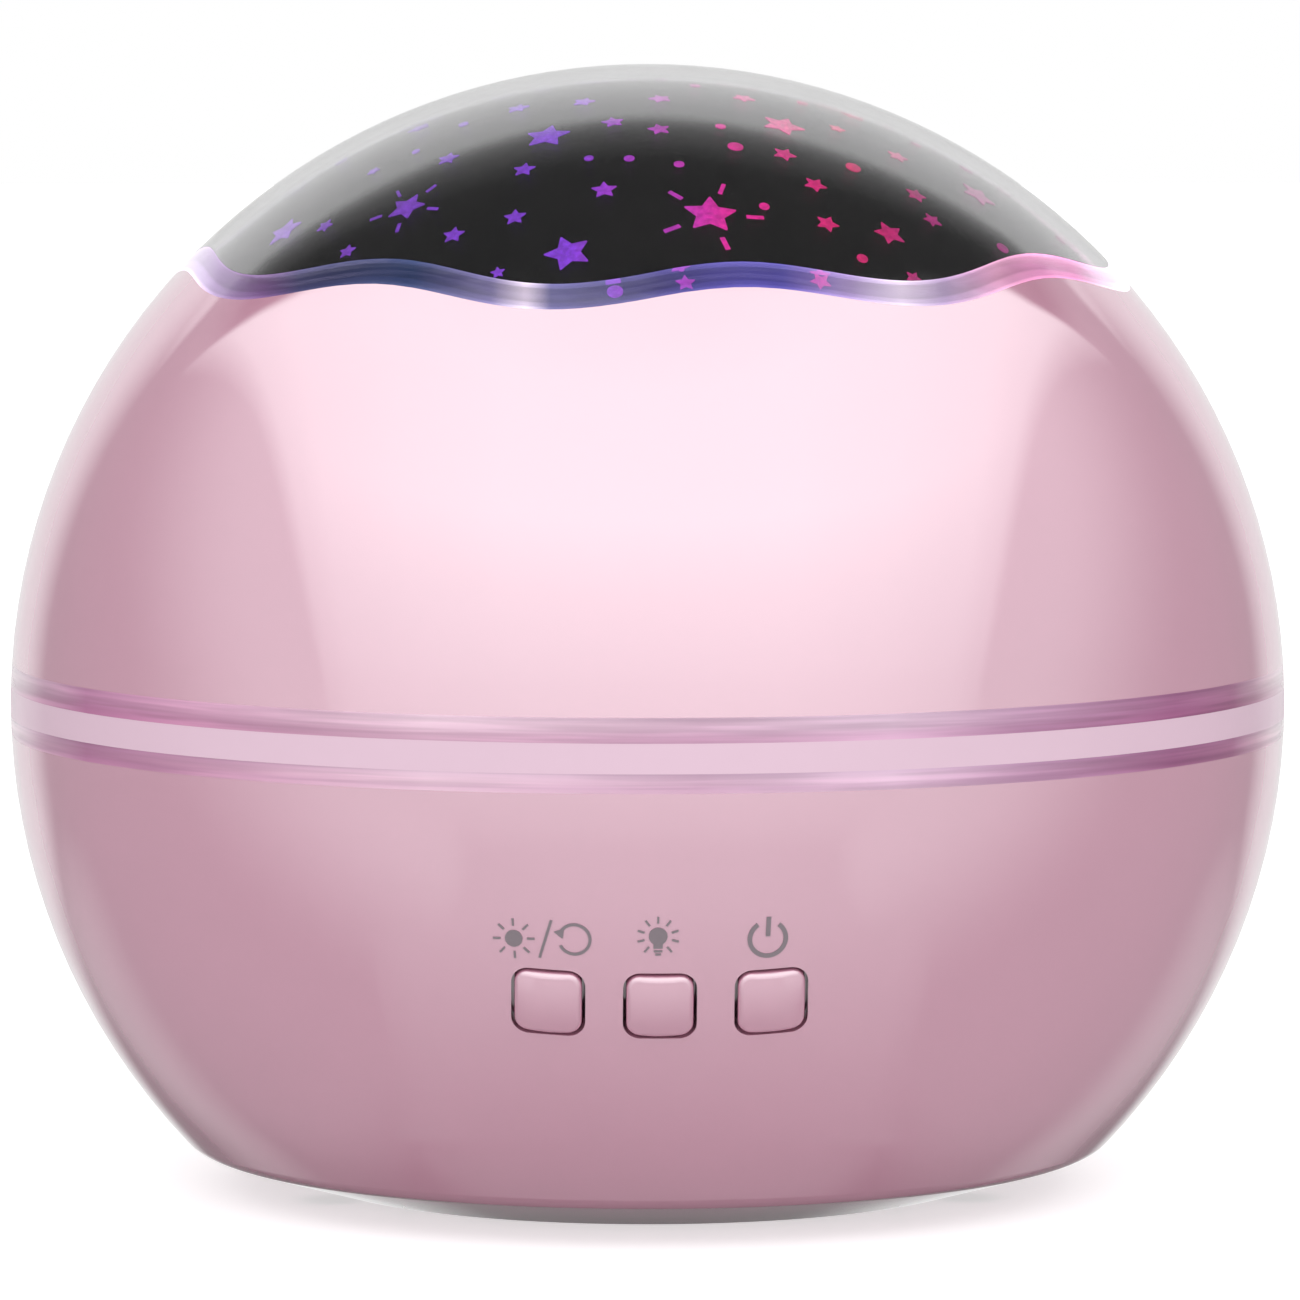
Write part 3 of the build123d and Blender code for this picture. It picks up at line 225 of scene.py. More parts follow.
def lit_lip():
    """Clear lip that the lights below tint from blue on the left to pink on the right; the glow, glints and
    edge highlights are painted light.
    """
    finish, tree, shader, place = new_finish("lit_lip_finish")
    side = ranged(tree, axis_value(tree, place, "X"), -LIP_REACH, LIP_REACH, 0.0, 1.0)
    # Painted light: glow colour across the lip; the pale stops at both ends are painted highlights and the
    # narrow pale stops at 0.365 and 0.755 painted glints.
    tones = colour_steps(tree, side, [
        (0.0, (0.80, 0.70, 0.82)),
        (0.04, (0.36, 0.23, 0.42)),
        (0.09, (0.20, 0.10, 0.25)),
        (0.13, (0.05, 0.05, 0.13)),
        (0.25, (0.03, 0.055, 0.15)),
        (0.33, (0.20, 0.17, 0.36)),
        (0.365, (0.85, 0.72, 0.85)),
        (0.39, (0.12, 0.11, 0.28)),
        (0.50, (0.07, 0.06, 0.24)),
        (0.63, (0.12, 0.10, 0.46)),
        (0.70, (0.42, 0.28, 0.60)),
        (0.755, (0.90, 0.74, 0.90)),
        (0.80, (0.45, 0.30, 0.52)),
        (0.86, (0.88, 0.44, 0.62)),
        (0.95, (0.86, 0.20, 0.48)),
        (1.0, (0.95, 0.85, 0.93)),
    ])
    height = share_of_lip(tree, place)
    # Painted highlights along the lip's bottom and top edges, with a painted shade band just above the bottom
    # edge.
    relief_depth_and_painted_bands = grey_steps(tree, height, [(0.0, 1.9), (0.06, 1.7), (0.13, 0.75), (0.3, 0.9), (0.75, 1.0),
                                      (0.93, 1.2), (1.0, 1.9)])
    streaks = cloud(tree, stretched(tree, place, (1.0, 1.0, 4.0)), 130.0, 2.0)
    glow = toned(tree, toned(tree, tones, relief_depth_and_painted_bands), grey_steps(tree, streaks, [(0.3, 0.8), (0.7, 1.2)]))
    shader.inputs["Base Color"].default_value = (0.85, 0.80, 0.95, 1)
    tree.links.new(glow, shader.inputs["Emission Color"])
    shader.inputs["Emission Strength"].default_value = 0.4
    shader.inputs["Transmission Weight"].default_value = 1.0
    shader.inputs["IOR"].default_value = 1.49
    tree.links.new(ranged(tree, streaks, 0.3, 0.7, 0.05, 0.12), shader.inputs["Roughness"])
    textured_skin(tree, shader, streaks, 0.00003)
    tinted_depth(tree, (0.3, 0.3, 0.36), 420.0)
    return finish


def ring_tint_and_painted_reflection():
    """Clear ring round the middle, tinted pink and violet, with streaks along it, and with painted reflections,
    highlights and shade across it and along its height.
    """
    finish, tree, shader, place = new_finish("ring_tint_and_painted_reflection_finish")
    side = ranged(tree, axis_value(tree, place, "X"), -BALL_RADIUS, BALL_RADIUS, 0.0, 1.0)
    # Partly the ring's own pink and violet, partly painted reflection: pale at both ends, dark plum towards
    # them, lighter in front.
    tones = colour_steps(tree, side, [
        (0.0, (0.90, 0.74, 0.82)),
        (0.03, (0.70, 0.44, 0.58)),
        (0.07, (0.49, 0.215, 0.37)),
        (0.16, (0.67, 0.36, 0.52)),
        (0.33, (0.81, 0.57, 0.69)),
        (0.53, (0.67, 0.43, 0.57)),
        (0.67, (0.77, 0.54, 0.69)),
        (0.77, (0.56, 0.32, 0.48)),
        (0.89, (0.39, 0.145, 0.29)),
        (0.94, (0.41, 0.17, 0.30)),
        (0.975, (0.75, 0.52, 0.62)),
        (1.0, (0.92, 0.78, 0.84)),
    ])
    height = ranged(tree, axis_value(tree, place, "Z"), RING_FOOT, RING_HEAD, 0.0, 1.0)
    # Lighter and darker bands along each ring's height are painted highlights and painted shade.
    relief_depth_and_painted_bands = colour_steps(tree, height, [
        (0.0, (1.0, 0.95, 0.97)),
        (0.065, (0.90, 0.84, 0.88)),
        (0.13, (1.12, 1.10, 1.10)),
        (0.19, (1.0, 1.0, 1.0)),
        (0.25, (0.92, 0.92, 0.94)),
        (0.67, (0.97, 0.82, 0.91)),
        (0.75, (0.86, 0.76, 0.82)),
        (0.83, (0.96, 0.94, 0.95)),
        (0.92, (1.08, 1.10, 1.08)),
        (0.97, (0.95, 0.97, 0.97)),
        (1.0, (1.1, 1.1, 1.1)),
    ])
    streaks = cloud(tree, stretched(tree, place, (0.5, 0.5, 16.0)), 80.0, 2.0)
    lines = grey_steps(tree, streaks, [(0.35, 0.86), (0.5, 1.0), (0.62, 1.18)])
    tree.links.new(toned(tree, toned(tree, tones, relief_depth_and_painted_bands), lines), shader.inputs["Base Color"])
    shader.inputs["Transmission Weight"].default_value = 0.2
    shader.inputs["IOR"].default_value = 1.49
    tree.links.new(ranged(tree, streaks, 0.3, 0.7, 0.06, 0.2), shader.inputs["Roughness"])
    textured_skin(tree, shader, streaks, 0.00004)
    return finish


def printed_black():
    """Near-black print on the star dome."""
    finish, tree, shader, place = new_finish("star_film_finish")
    drift = ranged(tree, cloud(tree, place, 120.0), 0.3, 0.7, 0.0, 1.0)
    black = two_tone(tree, drift, (0.016, 0.016, 0.016), (0.021, 0.020, 0.020))
    tree.links.new(black, shader.inputs["Base Color"])
    tree.links.new(ranged(tree, cloud(tree, place, 500.0), 0.3, 0.7, 0.08, 0.14), shader.inputs["Roughness"])
    shader.inputs["IOR"].default_value = 1.8
    textured_skin(tree, shader, cloud(tree, place, 2500.0, 1.0), 0.000002)
    return finish


def lit_star():
    """Clear star in the print, lit from below: violet on the left through pink to plum on the right."""
    finish, tree, shader, place = new_finish("lit_star_finish")
    side = ranged(tree, axis_value(tree, place, "X"), -0.05, 0.05, 0.0, 1.0)
    tones = colour_steps(tree, side, [
        (0.0, (0.30, 0.10, 0.62)),
        (0.25, (0.20, 0.05, 0.55)),
        (0.42, (0.24, 0.05, 0.72)),
        (0.52, (0.55, 0.04, 0.50)),
        (0.57, (0.82, 0.02, 0.33)),
        (0.68, (0.70, 0.015, 0.14)),
        (0.78, (0.33, 0.02, 0.18)),
        (1.0, (0.45, 0.06, 0.25)),
    ])
    shader.inputs["Base Color"].default_value = (0.05, 0.02, 0.06, 1)
    tree.links.new(tones, shader.inputs["Emission Color"])
    sparkle = ranged(tree, cloud(tree, place, 1800.0, 2.0), 0.35, 0.7, 0.8, 1.25)
    tree.links.new(sparkle, shader.inputs["Emission Strength"])
    shader.inputs["Roughness"].default_value = 0.2
    return finish


def grey_ink():
    """Grey printing ink of the symbols."""
    return moulded_plastic("grey_ink_finish", (0.20, 0.165, 0.185), 1.12, (0.35, 0.5), 3000.0)


def brushed_metal(name, tone, gloss):
    """Metal with fine drawn lines."""
    finish, tree, shader, place = new_finish(name)
    lines = cloud(tree, stretched(tree, place, (1.0, 1.0, 12.0)), 900.0, 2.0)
    other = tuple(channel * 0.82 for channel in tone)
    tree.links.new(two_tone(tree, lines, tone, other), shader.inputs["Base Color"])
    shader.inputs["Metallic"].default_value = 1.0
    tree.links.new(ranged(tree, lines, 0.3, 0.7, gloss[0], gloss[1]), shader.inputs["Roughness"])
    textured_skin(tree, shader, lines, 0.000003)
    return finish


def green_board():
    """Circuit board with darker tracks under the lacquer."""
    finish, tree, shader, place = new_finish("circuit_board_finish")
    tracks = tree.nodes.new("ShaderNodeTexVoronoi")
    tracks.distance = "MANHATTAN"
    tracks.feature = "F2"
    tracks.inputs["Scale"].default_value = 320.0
    tree.links.new(place, tracks.inputs["Vector"])
    factor = ranged(tree, tracks.outputs["Distance"], 0.45, 0.75, 0.0, 1.0)
    tree.links.new(two_tone(tree, factor, (0.015, 0.11, 0.05), (0.04, 0.22, 0.10)), shader.inputs["Base Color"])
    shader.inputs["Roughness"].default_value = 0.3
    textured_skin(tree, shader, factor, 0.00003)
    return finish


def led_epoxy():
    """Milky lens of the lights."""
    finish, tree, shader, place = new_finish("led_lens_finish")
    milk = ranged(tree, cloud(tree, place, 400.0), 0.3, 0.7, 0.0, 1.0)
    tree.links.new(two_tone(tree, milk, (0.85, 0.88, 0.95), (0.95, 0.95, 0.98)), shader.inputs["Base Color"])
    shader.inputs["Transmission Weight"].default_value = 0.5
    shader.inputs["Roughness"].default_value = 0.12
    shader.inputs["Emission Color"].default_value = (0.75, 0.55, 1.0, 1)
    shader.inputs["Emission Strength"].default_value = 0.6
    return finish


def cell_jacket():
    """Dark jacket of the cells with a copper band at one end."""
    finish, tree, shader, place = new_finish("cell_wrap_finish")
    along = ranged(tree, axis_value(tree, place, "Y"), -CELL_HALF, CELL_HALF, 0.0, 1.0)
    jacket = colour_steps(tree, along, [
        (0.0, (0.55, 0.55, 0.56)),
        (0.03, (0.03, 0.03, 0.035)),
        (0.70, (0.03, 0.03, 0.035)),
        (0.72, (0.62, 0.33, 0.12)),
        (0.97, (0.62, 0.33, 0.12)),
        (1.0, (0.6, 0.6, 0.6)),
    ])
    tree.links.new(jacket, shader.inputs["Base Color"])
    tree.links.new(ranged(tree, cloud(tree, place, 600.0), 0.3, 0.7, 0.29, 0.38), shader.inputs["Roughness"])
    shader.inputs["Metallic"].default_value = 0.4
    return finish


finishes = {
    "pink_plastic": lacquered_pink("pink_plastic_finish", (0.63, 0.295, 0.41), 3.8),
    "pale_plastic": moulded_plastic("pale_plastic_finish", (0.68, 0.485, 0.588), 1.03, (0.16, 0.24)),
    "clear_plastic": clear_cap(),
    "star_film": printed_black(),
    "white_nylon": moulded_plastic("white_nylon_finish", (0.74, 0.73, 0.71), 0.96, (0.38, 0.5)),
    "steel": brushed_metal("steel_finish", (0.56, 0.56, 0.57), (0.29, 0.42)),
    "circuit_board": green_board(),
    "black_plastic": moulded_plastic("black_plastic_finish", (0.02, 0.02, 0.022), 1.3, (0.3, 0.45)),
    "brass": brushed_metal("brass_finish", (0.72, 0.53, 0.25), (0.29, 0.4)),
    "led_lens": led_epoxy(),
    "cell_wrap": cell_jacket(),
    "lead_sheath": moulded_plastic("lead_sheath_finish", (0.30, 0.31, 0.33), 0.9, (0.45, 0.6)),
    "foot_rubber": moulded_plastic("foot_rubber_finish", (0.70, 0.66, 0.68), 0.95, (0.65, 0.8), 900.0, 0.00001),
}
own_finishes = {
    "wave_lip": lit_lip(),
    "upper_clear_ring": ring_tint_and_painted_reflection(),
}
own_finishes["lower_clear_ring"] = own_finishes["upper_clear_ring"]

slot_of = {entry["node"]: entry["material_slot"] for entry in frame["record"]["subparts"]}
for name, node in frame["nodes"].items():
    node.material_slots[0].material = own_finishes.get(name, finishes[slot_of[name]])


# Printed pieces: flat shapes in millimetres, then wrapped on the ball

def filled_disc(centre, radius):
    """Round dot."""
    shape = bmesh.new()
    bmesh.ops.create_circle(shape, cap_ends=True, cap_tris=True, segments=24, radius=radius)
    bmesh.ops.translate(shape, vec=Vector((*centre, 0)), verts=shape.verts)
    return shape


def bar(start, end, width):
    """Straight stroke between two points."""
    first, last = Vector((*start, 0)), Vector((*end, 0))
    run = last - first
    shape = bmesh.new()
    bmesh.ops.create_grid(shape, x_segments=3, y_segments=1, size=0.5)
    bmesh.ops.scale(shape, vec=Vector((run.length, width, 1)), verts=shape.verts)
    turned = Matrix.Rotation(run.xy.angle_signed(Vector((1, 0))), 4, "Z")
    bmesh.ops.transform(shape, matrix=Matrix.Translation((first + last) / 2) @ turned, verts=shape.verts)
    return shape


def rays(centre, inner, outer, width, angles):
    """Short strokes that point away from a centre."""
    strokes = []
    for angle in angles:
        way = Vector((cos(radians(angle)), sin(radians(angle))))
        strokes.append(bar(Vector(centre) + inner * way, Vector(centre) + outer * way, width))
    return strokes


def arc_band(centre, radius, width, start, end):
    """Part of a flat ring between two angles in degrees."""
    shape = bmesh.new()
    inner = shape.verts.new((radius - width / 2, 0, 0))
    outer = shape.verts.new((radius + width / 2, 0, 0))
    edge = shape.edges.new((inner, outer))
    bmesh.ops.rotate(shape, cent=Vector(), matrix=Matrix.Rotation(radians(start), 3, "Z"), verts=shape.verts)
    bmesh.ops.spin(shape, geom=[inner, outer, edge], axis=Vector((0, 0, 1)), cent=Vector(),
                   angle=radians(end - start), steps=30)
    bmesh.ops.translate(shape, vec=Vector((*centre, 0)), verts=shape.verts)
    return shape


def triangle(centre, radius, turn):
    """Arrow's head."""
    shape = bmesh.new()
    bmesh.ops.create_circle(shape, cap_ends=True, segments=3, radius=radius)
    bmesh.ops.rotate(shape, cent=Vector(), matrix=Matrix.Rotation(radians(turn), 3, "Z"), verts=shape.verts)
    bmesh.ops.translate(shape, vec=Vector((*centre, 0)), verts=shape.verts)
    return shape


def star_shape(radius, valley, turn):
    """Five-pointed star with slightly rounded tips."""
    shape = bmesh.new()
    ring = bmesh.ops.create_circle(shape, cap_ends=False, segments=10, radius=radius)["verts"]
    bmesh.ops.scale(shape, vec=Vector((valley, valley, 1)), verts=ring[1::2])
    bmesh.ops.bevel(shape, geom=ring[::2], offset=radius * 0.08, offset_type="OFFSET", affect="VERTICES",
                    segments=2, profile=0.5, material=-1)
    bmesh.ops.contextual_create(shape, geom=shape.edges[:])
    bmesh.ops.poke(shape, faces=shape.faces[:])
    bmesh.ops.rotate(shape, cent=Vector(), matrix=Matrix.Rotation(radians(turn), 3, "Z"), verts=shape.verts)
    return shape


def print_on_ball(target, shape, azimuth, latitude, radius):
    """Give a flat shape a thin body and lay it on a ball: x runs round the ball, y up, z outwards."""
    made = bmesh.ops.extrude_face_region(shape, geom=shape.faces[:])["geom"]
    bmesh.ops.scale(shape, vec=Vector((MILLIMETRE, MILLIMETRE, MILLIMETRE)), verts=shape.verts)
    bmesh.ops.translate(shape, vec=Vector((0, 0, -PRINT_SUNK)), verts=shape.verts)
    raised = [part for part in made if isinstance(part, bmesh.types.BMVert)]
    bmesh.ops.translate(shape, vec=Vector((0, 0, PRINT_SUNK + PRINT_PROUD)), verts=raised)
    for vert in shape.verts:
        rise = radians(latitude) + vert.co.y / radius
        turn = radians(azimuth) + vert.co.x / (radius * cos(radians(latitude)))
        reach = radius + vert.co.z
        flat = reach * cos(rise)
        vert.co = BALL_CENTRE + Vector((flat * sin(turn), -flat * cos(turn), reach * sin(rise)))
    bmesh.ops.recalc_face_normals(shape, faces=shape.faces)
    carrier = bpy.data.meshes.new("carrier")
    shape.to_mesh(carrier)
    shape.free()
    target.from_mesh(carrier)
    bpy.data.meshes.remove(carrier)


def finished_piece(name, mesh, body, finish, smooth=False):
    """Piece from a mesh, carried by a body."""
    data = bpy.data.meshes.new(name)
    mesh.to_mesh(data)
    mesh.free()
    data.materials.append(finish)
    for face in data.polygons:
        face.use_smooth = smooth
    piece = bpy.data.objects.new(name, data)
    bpy.context.scene.collection.objects.link(piece)
    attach(piece, body)
    return piece


# Lip: its solid, drawn in by a hair

def eased_lip():
    """Wavy lip that shares no face with the clear cap and the shade beside it."""
    mesh = bmesh.new()
    mesh.from_mesh(frame["nodes"]["wave_lip"].data)
    bmesh.ops.remove_doubles(mesh, verts=mesh.verts, dist=0.000001)
    bmesh.ops.recalc_face_normals(mesh, faces=mesh.faces)
    mesh.normal_update()
    steps = [vert.normal * LIP_EASE for vert in mesh.verts]
    for vert, step in zip(mesh.verts, steps):
        vert.co -= step
    for edge in mesh.edges:
        edge.smooth = edge.calc_face_angle(0.0) < LIP_CREASE
    lip = finished_piece("clear_wave_lip", mesh, "cover", own_finishes["wave_lip"], True)
    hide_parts("wave_lip")


eased_lip()


# Stars of the dome: kind, azimuth, latitude, size in millimetres and turn. Azimuth runs from the front
# towards +X and latitude up from the ball's middle, both in degrees.

front_stars = [
    ("large", -11.5, 48, 2.35, 98), ("large", -23, 65.5, 2.3, 80), ("large", 32, 67.5, 2.2, 95),
    ("large", 34, 50, 1.65, 75), ("large", 61, 54.5, 2.0, 70), ("large", -61, 49.5, 2.0, 100),
    ("ray", 8, 53, 2.7, 65), ("ray", -39.5, 53.5, 2.0, 70),
    ("small", -40.5, 61, 1.15, 90), ("small", -23, 59.5, 1.15, 80), ("small", -20.5, 52.5, 1.15, 85),
    ("small", -28.5, 50, 1.15, 82), ("small", -52.5, 50.5, 0.95, 75), ("small", -44, 47.5, 0.95, 90),
    ("small", -8, 56.5, 1.3, 80), ("small", -9.5, 68.5, 1.15, 90), ("small", -21.5, 73.5, 1.15, 70),
    ("small", -40.5, 71.5, 1.15, 95), ("small", -65, 66.5, 1.2, 85), ("small", -55.5, 58.5, 0.7, 90),
    ("small", -20, 45.5, 0.75, 90), ("small", -76.5, 60, 0.75, 80),
    ("small", 25.5, 62, 1.2, 100), ("small", 27, 57, 1.2, 95), ("small", 25, 51.5, 1.2, 105),
    ("small", 45, 55, 1.15, 98), ("small", 43.5, 51.5, 1.05, 75), ("small", 52, 61, 1.15, 88),
    ("small", 1.5, 67, 1.15, 85), ("small", 3, 74.5, 1.15, 90), ("small", 33, 74.5, 1.15, 80),
    ("small", 66.5, 69.5, 1.3, 90), ("small", 46.5, 66.5, 0.85, 90), ("small", 73, 58.5, 0.85, 80),
    ("small", 80, 55, 0.85, 85), ("small", 67, 63, 0.65, 75),
    ("dot", -12, 61.5, 0.45, 0), ("dot", -4.5, 61.5, 0.5, 0), ("dot", -49.5, 67.5, 0.5, 0),
    ("dot", -51, 62, 0.4, 0), ("dot", 16.5, 63.5, 0.75, 0), ("dot", 16, 67.5, 0.5, 0),
    ("dot", 4.5, 60.5, 0.5, 0), ("dot", 16.5, 54, 0.5, 0), ("dot", 37.5, 59.5, 0.75, 0),
    ("dot", 27.5, 47, 0.55, 0), ("dot", 53, 47.5, 0.65, 0), ("dot", 75, 48, 0.65, 0),
    ("dot", 55, 73, 0.55, 0), ("dot", 23, 79.5, 0.5, 0),
    ("small", 3.5, 44.5, 1.0, 75), ("small", 20.5, 44.5, 1.1, 90), ("dot", -5, 43.5, 0.75, 0),
    ("small", 33.5, 44.5, 0.9, 100),
]
STAR_VALLEY = 0.5
RAY_INNER, RAY_OUTER, RAY_WIDTH = 1.25, 1.85, 0.16
FRONT_TURN = 84
FRONT_LATITUDE = 42
FILL_COUNT = 230
FILL_FOOT, FILL_RISE = 0.22, 0.775
FILL_KINDS = [("small", 1.15), ("dot", 0.55), ("large", 2.0), ("small", 1.0), ("dot", 0.7), ("small", 1.25)]
FILL_GAP = 0.0042
GOLDEN_ANGLE = 137.508


def dome_point(azimuth, latitude):
    """Place on the star dome, from the ball's centre."""
    rise, turn = radians(latitude), radians(azimuth)
    return STAR_DOME_RADIUS * Vector((cos(rise) * sin(turn), -cos(rise) * cos(turn), sin(rise)))


def star_field():
    """Front stars as placed, and an even spread over the rest of the dome."""
    stars = list(front_stars)
    for step in range(FILL_COUNT):
        kind, size = FILL_KINDS[step % len(FILL_KINDS)]
        latitude = degrees(asin(FILL_FOOT + FILL_RISE * step / FILL_COUNT))
        azimuth = (GOLDEN_ANGLE * step + 180) % 360 - 180
        spot = dome_point(azimuth, latitude)
        apart = [(spot - dome_point(star[1], star[2])).length - star[3] * MILLIMETRE for star in stars]
        in_front = abs(azimuth) < FRONT_TURN and latitude > FRONT_LATITUDE
        if min(apart) > FILL_GAP and not in_front:
            stars.append((kind, azimuth, latitude, size, 60 + 17 * (step % 4)))
    return stars


star_mesh = bmesh.new()
for kind, azimuth, latitude, size, turn in star_field():
    if kind == "dot":
        shapes = [filled_disc((0, 0), size)]
    else:
        shapes = [star_shape(size, STAR_VALLEY, turn)]
    if kind == "ray":
        tips = [turn + 72 * tip for tip in range(5)]
        shapes += rays((0, 0), size * RAY_INNER, size * RAY_OUTER, size * RAY_WIDTH, tips)
    for shape in shapes:
        print_on_ball(star_mesh, shape, azimuth, latitude, STAR_DOME_RADIUS)
finished_piece("star_windows", star_mesh, "carousel", lit_star())


# Symbols over the buttons

SYMBOL_LATITUDE = -15.15
ink = grey_ink()
EIGHTHS = [45 * step for step in range(8)]
sun = [filled_disc((0, 0), 0.82)] + rays((0, 0), 1.25, 1.95, 0.2, EIGHTHS)
slash = [bar((-0.62, -1.85), (0.62, 1.85), 0.26)]
turn_back = [arc_band((0, 0), 1.45, 0.28, -155, 140), triangle((-1.28, 0.62), 0.6, 80)]
bulb = [
    filled_disc((0, 0.35), 0.86),
    bar((0, -0.2), (0, -0.85), 0.86),
    bar((-0.4, -1.12), (0.4, -1.12), 0.2),
    bar((-0.26, -1.45), (0.26, -1.45), 0.2),
] + rays((0, 0.3), 1.3, 1.95, 0.19, [-50, -14, 18, 54, 90, 126, 162, 194, 230])
power = [arc_band((0, 0), 1.68, 0.42, -235, 55), bar((0, 0.25), (0, 2.15), 0.42)]
symbols = {
    "sun_symbol": (sun, -12.85),
    "slash_symbol": (slash, -10.05),
    "turn_symbol": (turn_back, -7.5),
    "bulb_symbol": (bulb, -0.2),
    "power_symbol": (power, 9.4),
}
for name, (shapes, azimuth) in symbols.items():
    symbol_mesh = bmesh.new()
    for shape in shapes:
        print_on_ball(symbol_mesh, shape, azimuth, SYMBOL_LATITUDE, BALL_RADIUS)
    finished_piece(name, symbol_mesh, "base", ink)


# Studio: pale floor, white surroundings for the camera, and soft panels in front and behind

FLOOR_HALF = 3.0
FLOOR_LIFT = 0.55
FRONT_LEVEL = 1.6
EDGE_STEPS = [(0.1, 1.0), (0.4, 0.95), (0.62, 0.87), (0.695, 0.75), (0.805, 0.0)]
PANEL_STEPS = [(0.0, 0.15), (0.025, 0.18), (0.11, 0.27), (0.24, 0.37), (0.32, 0.39), (0.58, 0.73), (0.7, 0.85),
               (0.8, 0.98), (0.94, 0.96), (1.0, 0.88)]
BACK_LEVEL = 0.85
BACK_STEPS = [(0.69, 1.0), (0.735, 0.36), (0.8, 0.22), (0.853, 0.12), (0.9, 0.045), (0.935, 0.0)]
FLANK_LEVEL = 0.48
UNDER_LEVEL = 0.25
SIDE_LOW = 0.3
SIDE_HIGH = 0.7
OVERHEAD_LEVEL = 0.075
PANEL_LEAN, PANEL_TAPER, PANEL_CORNER = 0.29, -0.205, 2.4
BACK_ROUND = 1.6
SIDE_LEAN = 0.9
LAMP_SIZE = 1.2
LAMP_POWER = 6.0
LAMP_HEIGHT = 1.4


def pale_floor():
    """Floor that looks white from above and keeps the shadow."""
    finish, tree, shader, place = new_finish("pale_floor_finish")
    drift = ranged(tree, cloud(tree, place, 3.0), 0.3, 0.7, 0.0, 1.0)
    tree.links.new(two_tone(tree, drift, (0.85, 0.85, 0.85), (0.87, 0.87, 0.87)), shader.inputs["Base Color"])
    shader.inputs["Roughness"].default_value = 0.6
    shader.inputs["Specular IOR Level"].default_value = 0.2
    path = tree.nodes.new("ShaderNodeLightPath")
    sight = worked(tree, "MAXIMUM", path.outputs["Is Camera Ray"], path.outputs["Is Transmission Ray"])
    shader.inputs["Emission Color"].default_value = (1, 1, 1, 1)
    tree.links.new(worked(tree, "MULTIPLY", sight, FLOOR_LIFT), shader.inputs["Emission Strength"])
    ground = bmesh.new()
    bmesh.ops.create_grid(ground, x_segments=2, y_segments=2, size=FLOOR_HALF)
    data = bpy.data.meshes.new("floor")
    ground.to_mesh(data)
    ground.free()
    data.materials.append(finish)
    floor = bpy.data.objects.new("floor", data)
    bpy.context.scene.collection.objects.link(floor)
    floor.visible_glossy = False


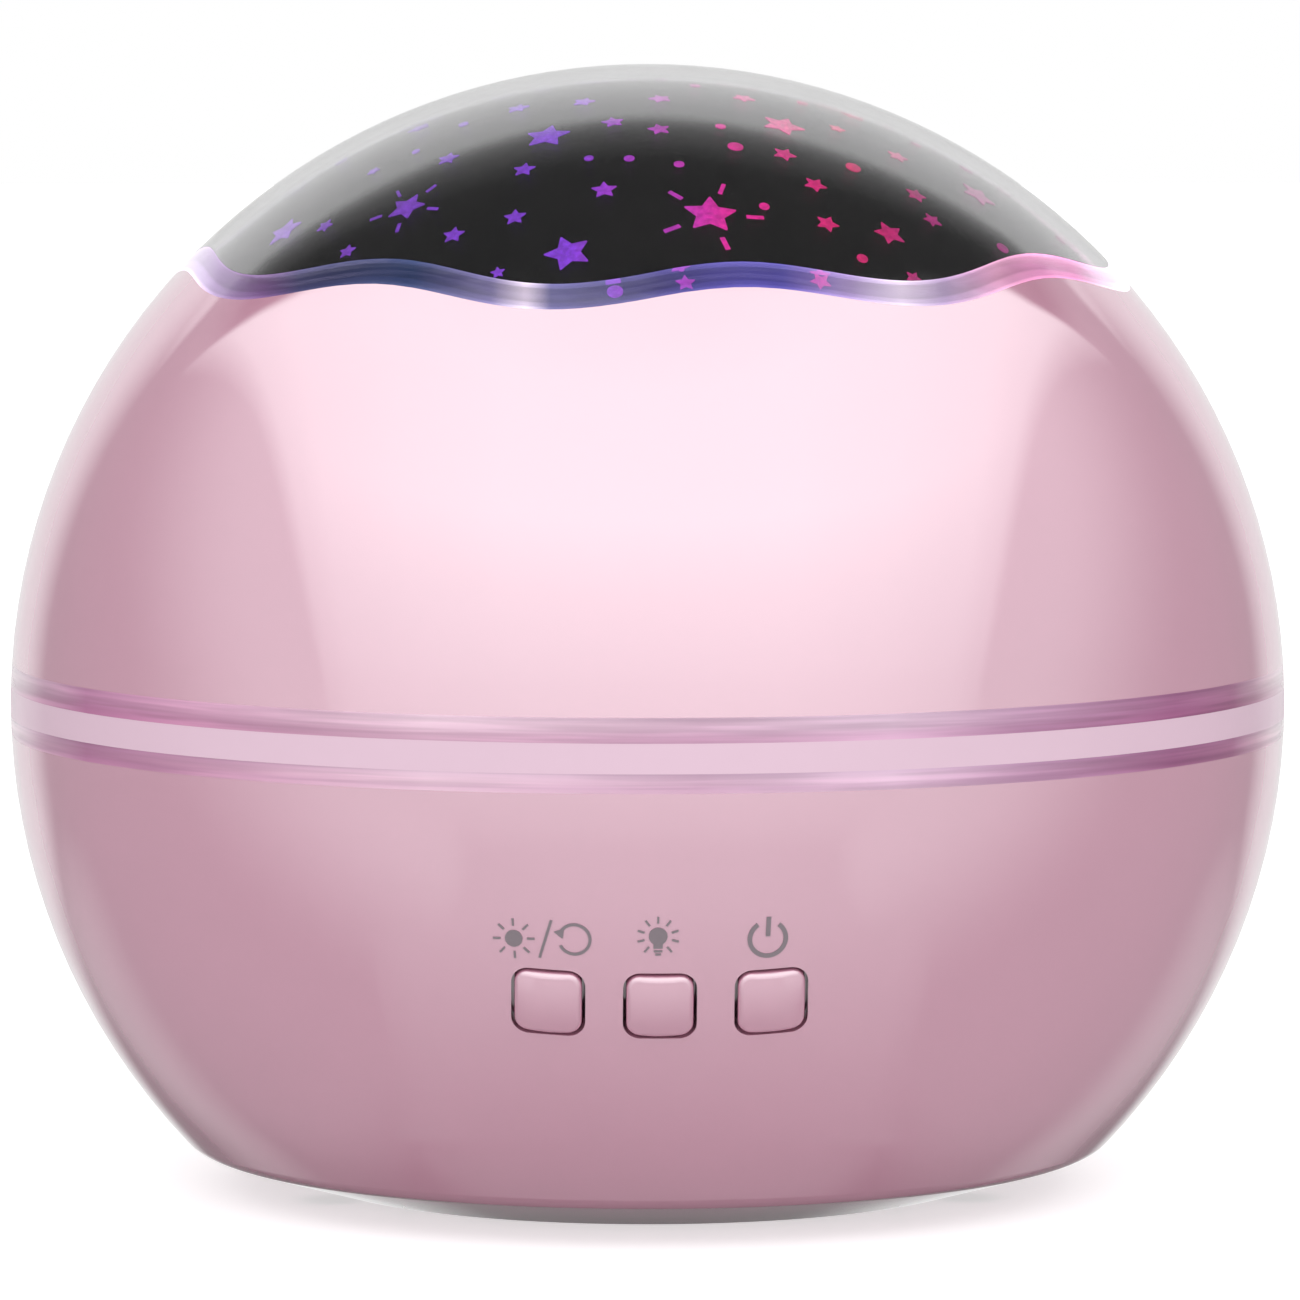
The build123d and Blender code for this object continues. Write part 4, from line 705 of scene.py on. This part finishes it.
def studio_light():
    """Surroundings: a large soft panel in front and above, a pale panel behind, softer light elsewhere.

    Each level is set by the direction that the light comes from.
    """
    world = bpy.data.worlds.new("studio")
    bpy.context.scene.world = world
    world.use_nodes = True
    tree = world.node_tree
    background = tree.nodes["Background"]
    way = tree.nodes.new("ShaderNodeTexCoord").outputs["Generated"]
    across, away, up = (axis_value(tree, way, axis) for axis in "XYZ")
    toward = worked(tree, "MULTIPLY", away, -1.0)
    sideways = worked(tree, "ABSOLUTE", across)
    edge = worked(tree, "ADD", worked(tree, "ADD", sideways, worked(tree, "MULTIPLY", away, PANEL_LEAN)),
                  worked(tree, "MULTIPLY", up, PANEL_TAPER))
    corner = worked(tree, "MULTIPLY", worked(tree, "POWER", sideways, 3.0), PANEL_CORNER)
    before = ranged(tree, worked(tree, "ADD", toward, corner), 0.06, 0.16, 0.0, 1.0, True)
    fall = grey_steps(tree, edge, EDGE_STEPS)
    panel = worked(tree, "MULTIPLY", fall, before)
    level = grey_steps(tree, ranged(tree, up, -1.0, 1.0, 0.0, 1.0), PANEL_STEPS)
    front = worked(tree, "MULTIPLY", panel, worked(tree, "MULTIPLY", level, FRONT_LEVEL))
    behind = worked(tree, "MAXIMUM", away, 0.001)
    beside = ranged(tree, worked(tree, "DIVIDE", sideways, behind), 0.5, 1.1, 1.0, 0.0, True)
    shoulder = worked(tree, "MULTIPLY", worked(tree, "POWER", sideways, 3.0), BACK_ROUND)
    rounded = worked(tree, "ADD", up, shoulder)
    top = grey_steps(tree, rounded, BACK_STEPS)
    above_floor = ranged(tree, worked(tree, "DIVIDE", up, behind), -0.45, -0.2, 0.0, 1.0, True)
    width = worked(tree, "MAXIMUM", beside, ranged(tree, up, 0.25, 0.45, 0.0, 1.0, True))
    rear = worked(tree, "MULTIPLY", ranged(tree, away, 0.0, 0.12, 0.0, 1.0, True), width)
    back = worked(tree, "MULTIPLY", worked(tree, "MULTIPLY", rear, above_floor),
                  worked(tree, "MULTIPLY", top, BACK_LEVEL))
    lean = worked(tree, "ADD", toward, worked(tree, "MULTIPLY", up, SIDE_LEAN))
    low = worked(tree, "MAXIMUM", ranged(tree, up, -0.6, -0.1, 0.45, 1.0, True),
                 ranged(tree, sideways, 0.25, 0.6, 0.0, 1.0, True))
    flank = worked(tree, "MULTIPLY", ranged(tree, sideways, 0.2, 0.5, 0.0, FLANK_LEVEL, True),
                   worked(tree, "MULTIPLY", ranged(tree, up, -0.35, 0.0, 1.0, 0.0, True),
                          ranged(tree, away, 0.3, 0.75, 0.0, 1.0, True)))
    under = worked(tree, "MULTIPLY", ranged(tree, up, -0.95, -0.75, UNDER_LEVEL, 0.0, True),
                   ranged(tree, away, 0.1, 0.45, 1.0, 0.0, True))
    beneath = worked(tree, "MAXIMUM", flank, under)
    glow = worked(tree, "MULTIPLY", ranged(tree, lean, -0.35, 0.45, SIDE_LOW, SIDE_HIGH, True), low)
    open_side = worked(tree, "MAXIMUM", before, ranged(tree, up, 0.45, 0.6, 1.0, 0.0, True))
    sides = worked(tree, "MAXIMUM", worked(tree, "MULTIPLY", glow, open_side),
                   worked(tree, "MAXIMUM", beneath, OVERHEAD_LEVEL))
    light = worked(tree, "MAXIMUM", worked(tree, "MAXIMUM", front, back), sides)
    sight = tree.nodes.new("ShaderNodeLightPath").outputs["Is Camera Ray"]
    unseen = worked(tree, "SUBTRACT", 1.0, sight)
    strength = worked(tree, "ADD", worked(tree, "MULTIPLY", light, unseen), sight)
    background.inputs["Color"].default_value = (1, 1, 1, 1)
    tree.links.new(strength, background.inputs["Strength"])


def top_light():
    """Large soft lamp overhead, kept out of reflections."""
    lamp = bpy.data.lights.new("top_light", "AREA")
    lamp.shape = "DISK"
    lamp.size = LAMP_SIZE
    lamp.energy = LAMP_POWER
    placed = bpy.data.objects.new("top_light", lamp)
    bpy.context.scene.collection.objects.link(placed)
    placed.location = (0, 0, LAMP_HEIGHT)
    placed.visible_glossy = False
    placed.visible_transmission = False


pale_floor()
studio_light()
top_light()


# Camera at the photograph's place

CAMERA_DISTANCE = 0.8356
CAMERA_LIFT = radians(5.354)
CAMERA_TURN = radians(-1.12)
FOCAL_LENGTH = 235.2
SENSOR_WIDTH = 36.0
AIM_SHIFT = Vector((0.00024, 0, 0.005))

toward_camera = Vector((
    sin(CAMERA_TURN) * cos(CAMERA_LIFT),
    -cos(CAMERA_TURN) * cos(CAMERA_LIFT),
    sin(CAMERA_LIFT),
))
lens = bpy.data.cameras.new("camera")
lens.lens = FOCAL_LENGTH
lens.sensor_width = SENSOR_WIDTH
camera = bpy.data.objects.new("camera", lens)
bpy.context.scene.collection.objects.link(camera)
camera.location = BALL_CENTRE + CAMERA_DISTANCE * toward_camera
aim = BALL_CENTRE + AIM_SHIFT
camera.rotation_euler = (aim - camera.location).to_track_quat("-Z", "Y").to_euler()
bpy.context.scene.camera = camera

view = bpy.context.scene.view_settings
view.view_transform = "Standard"
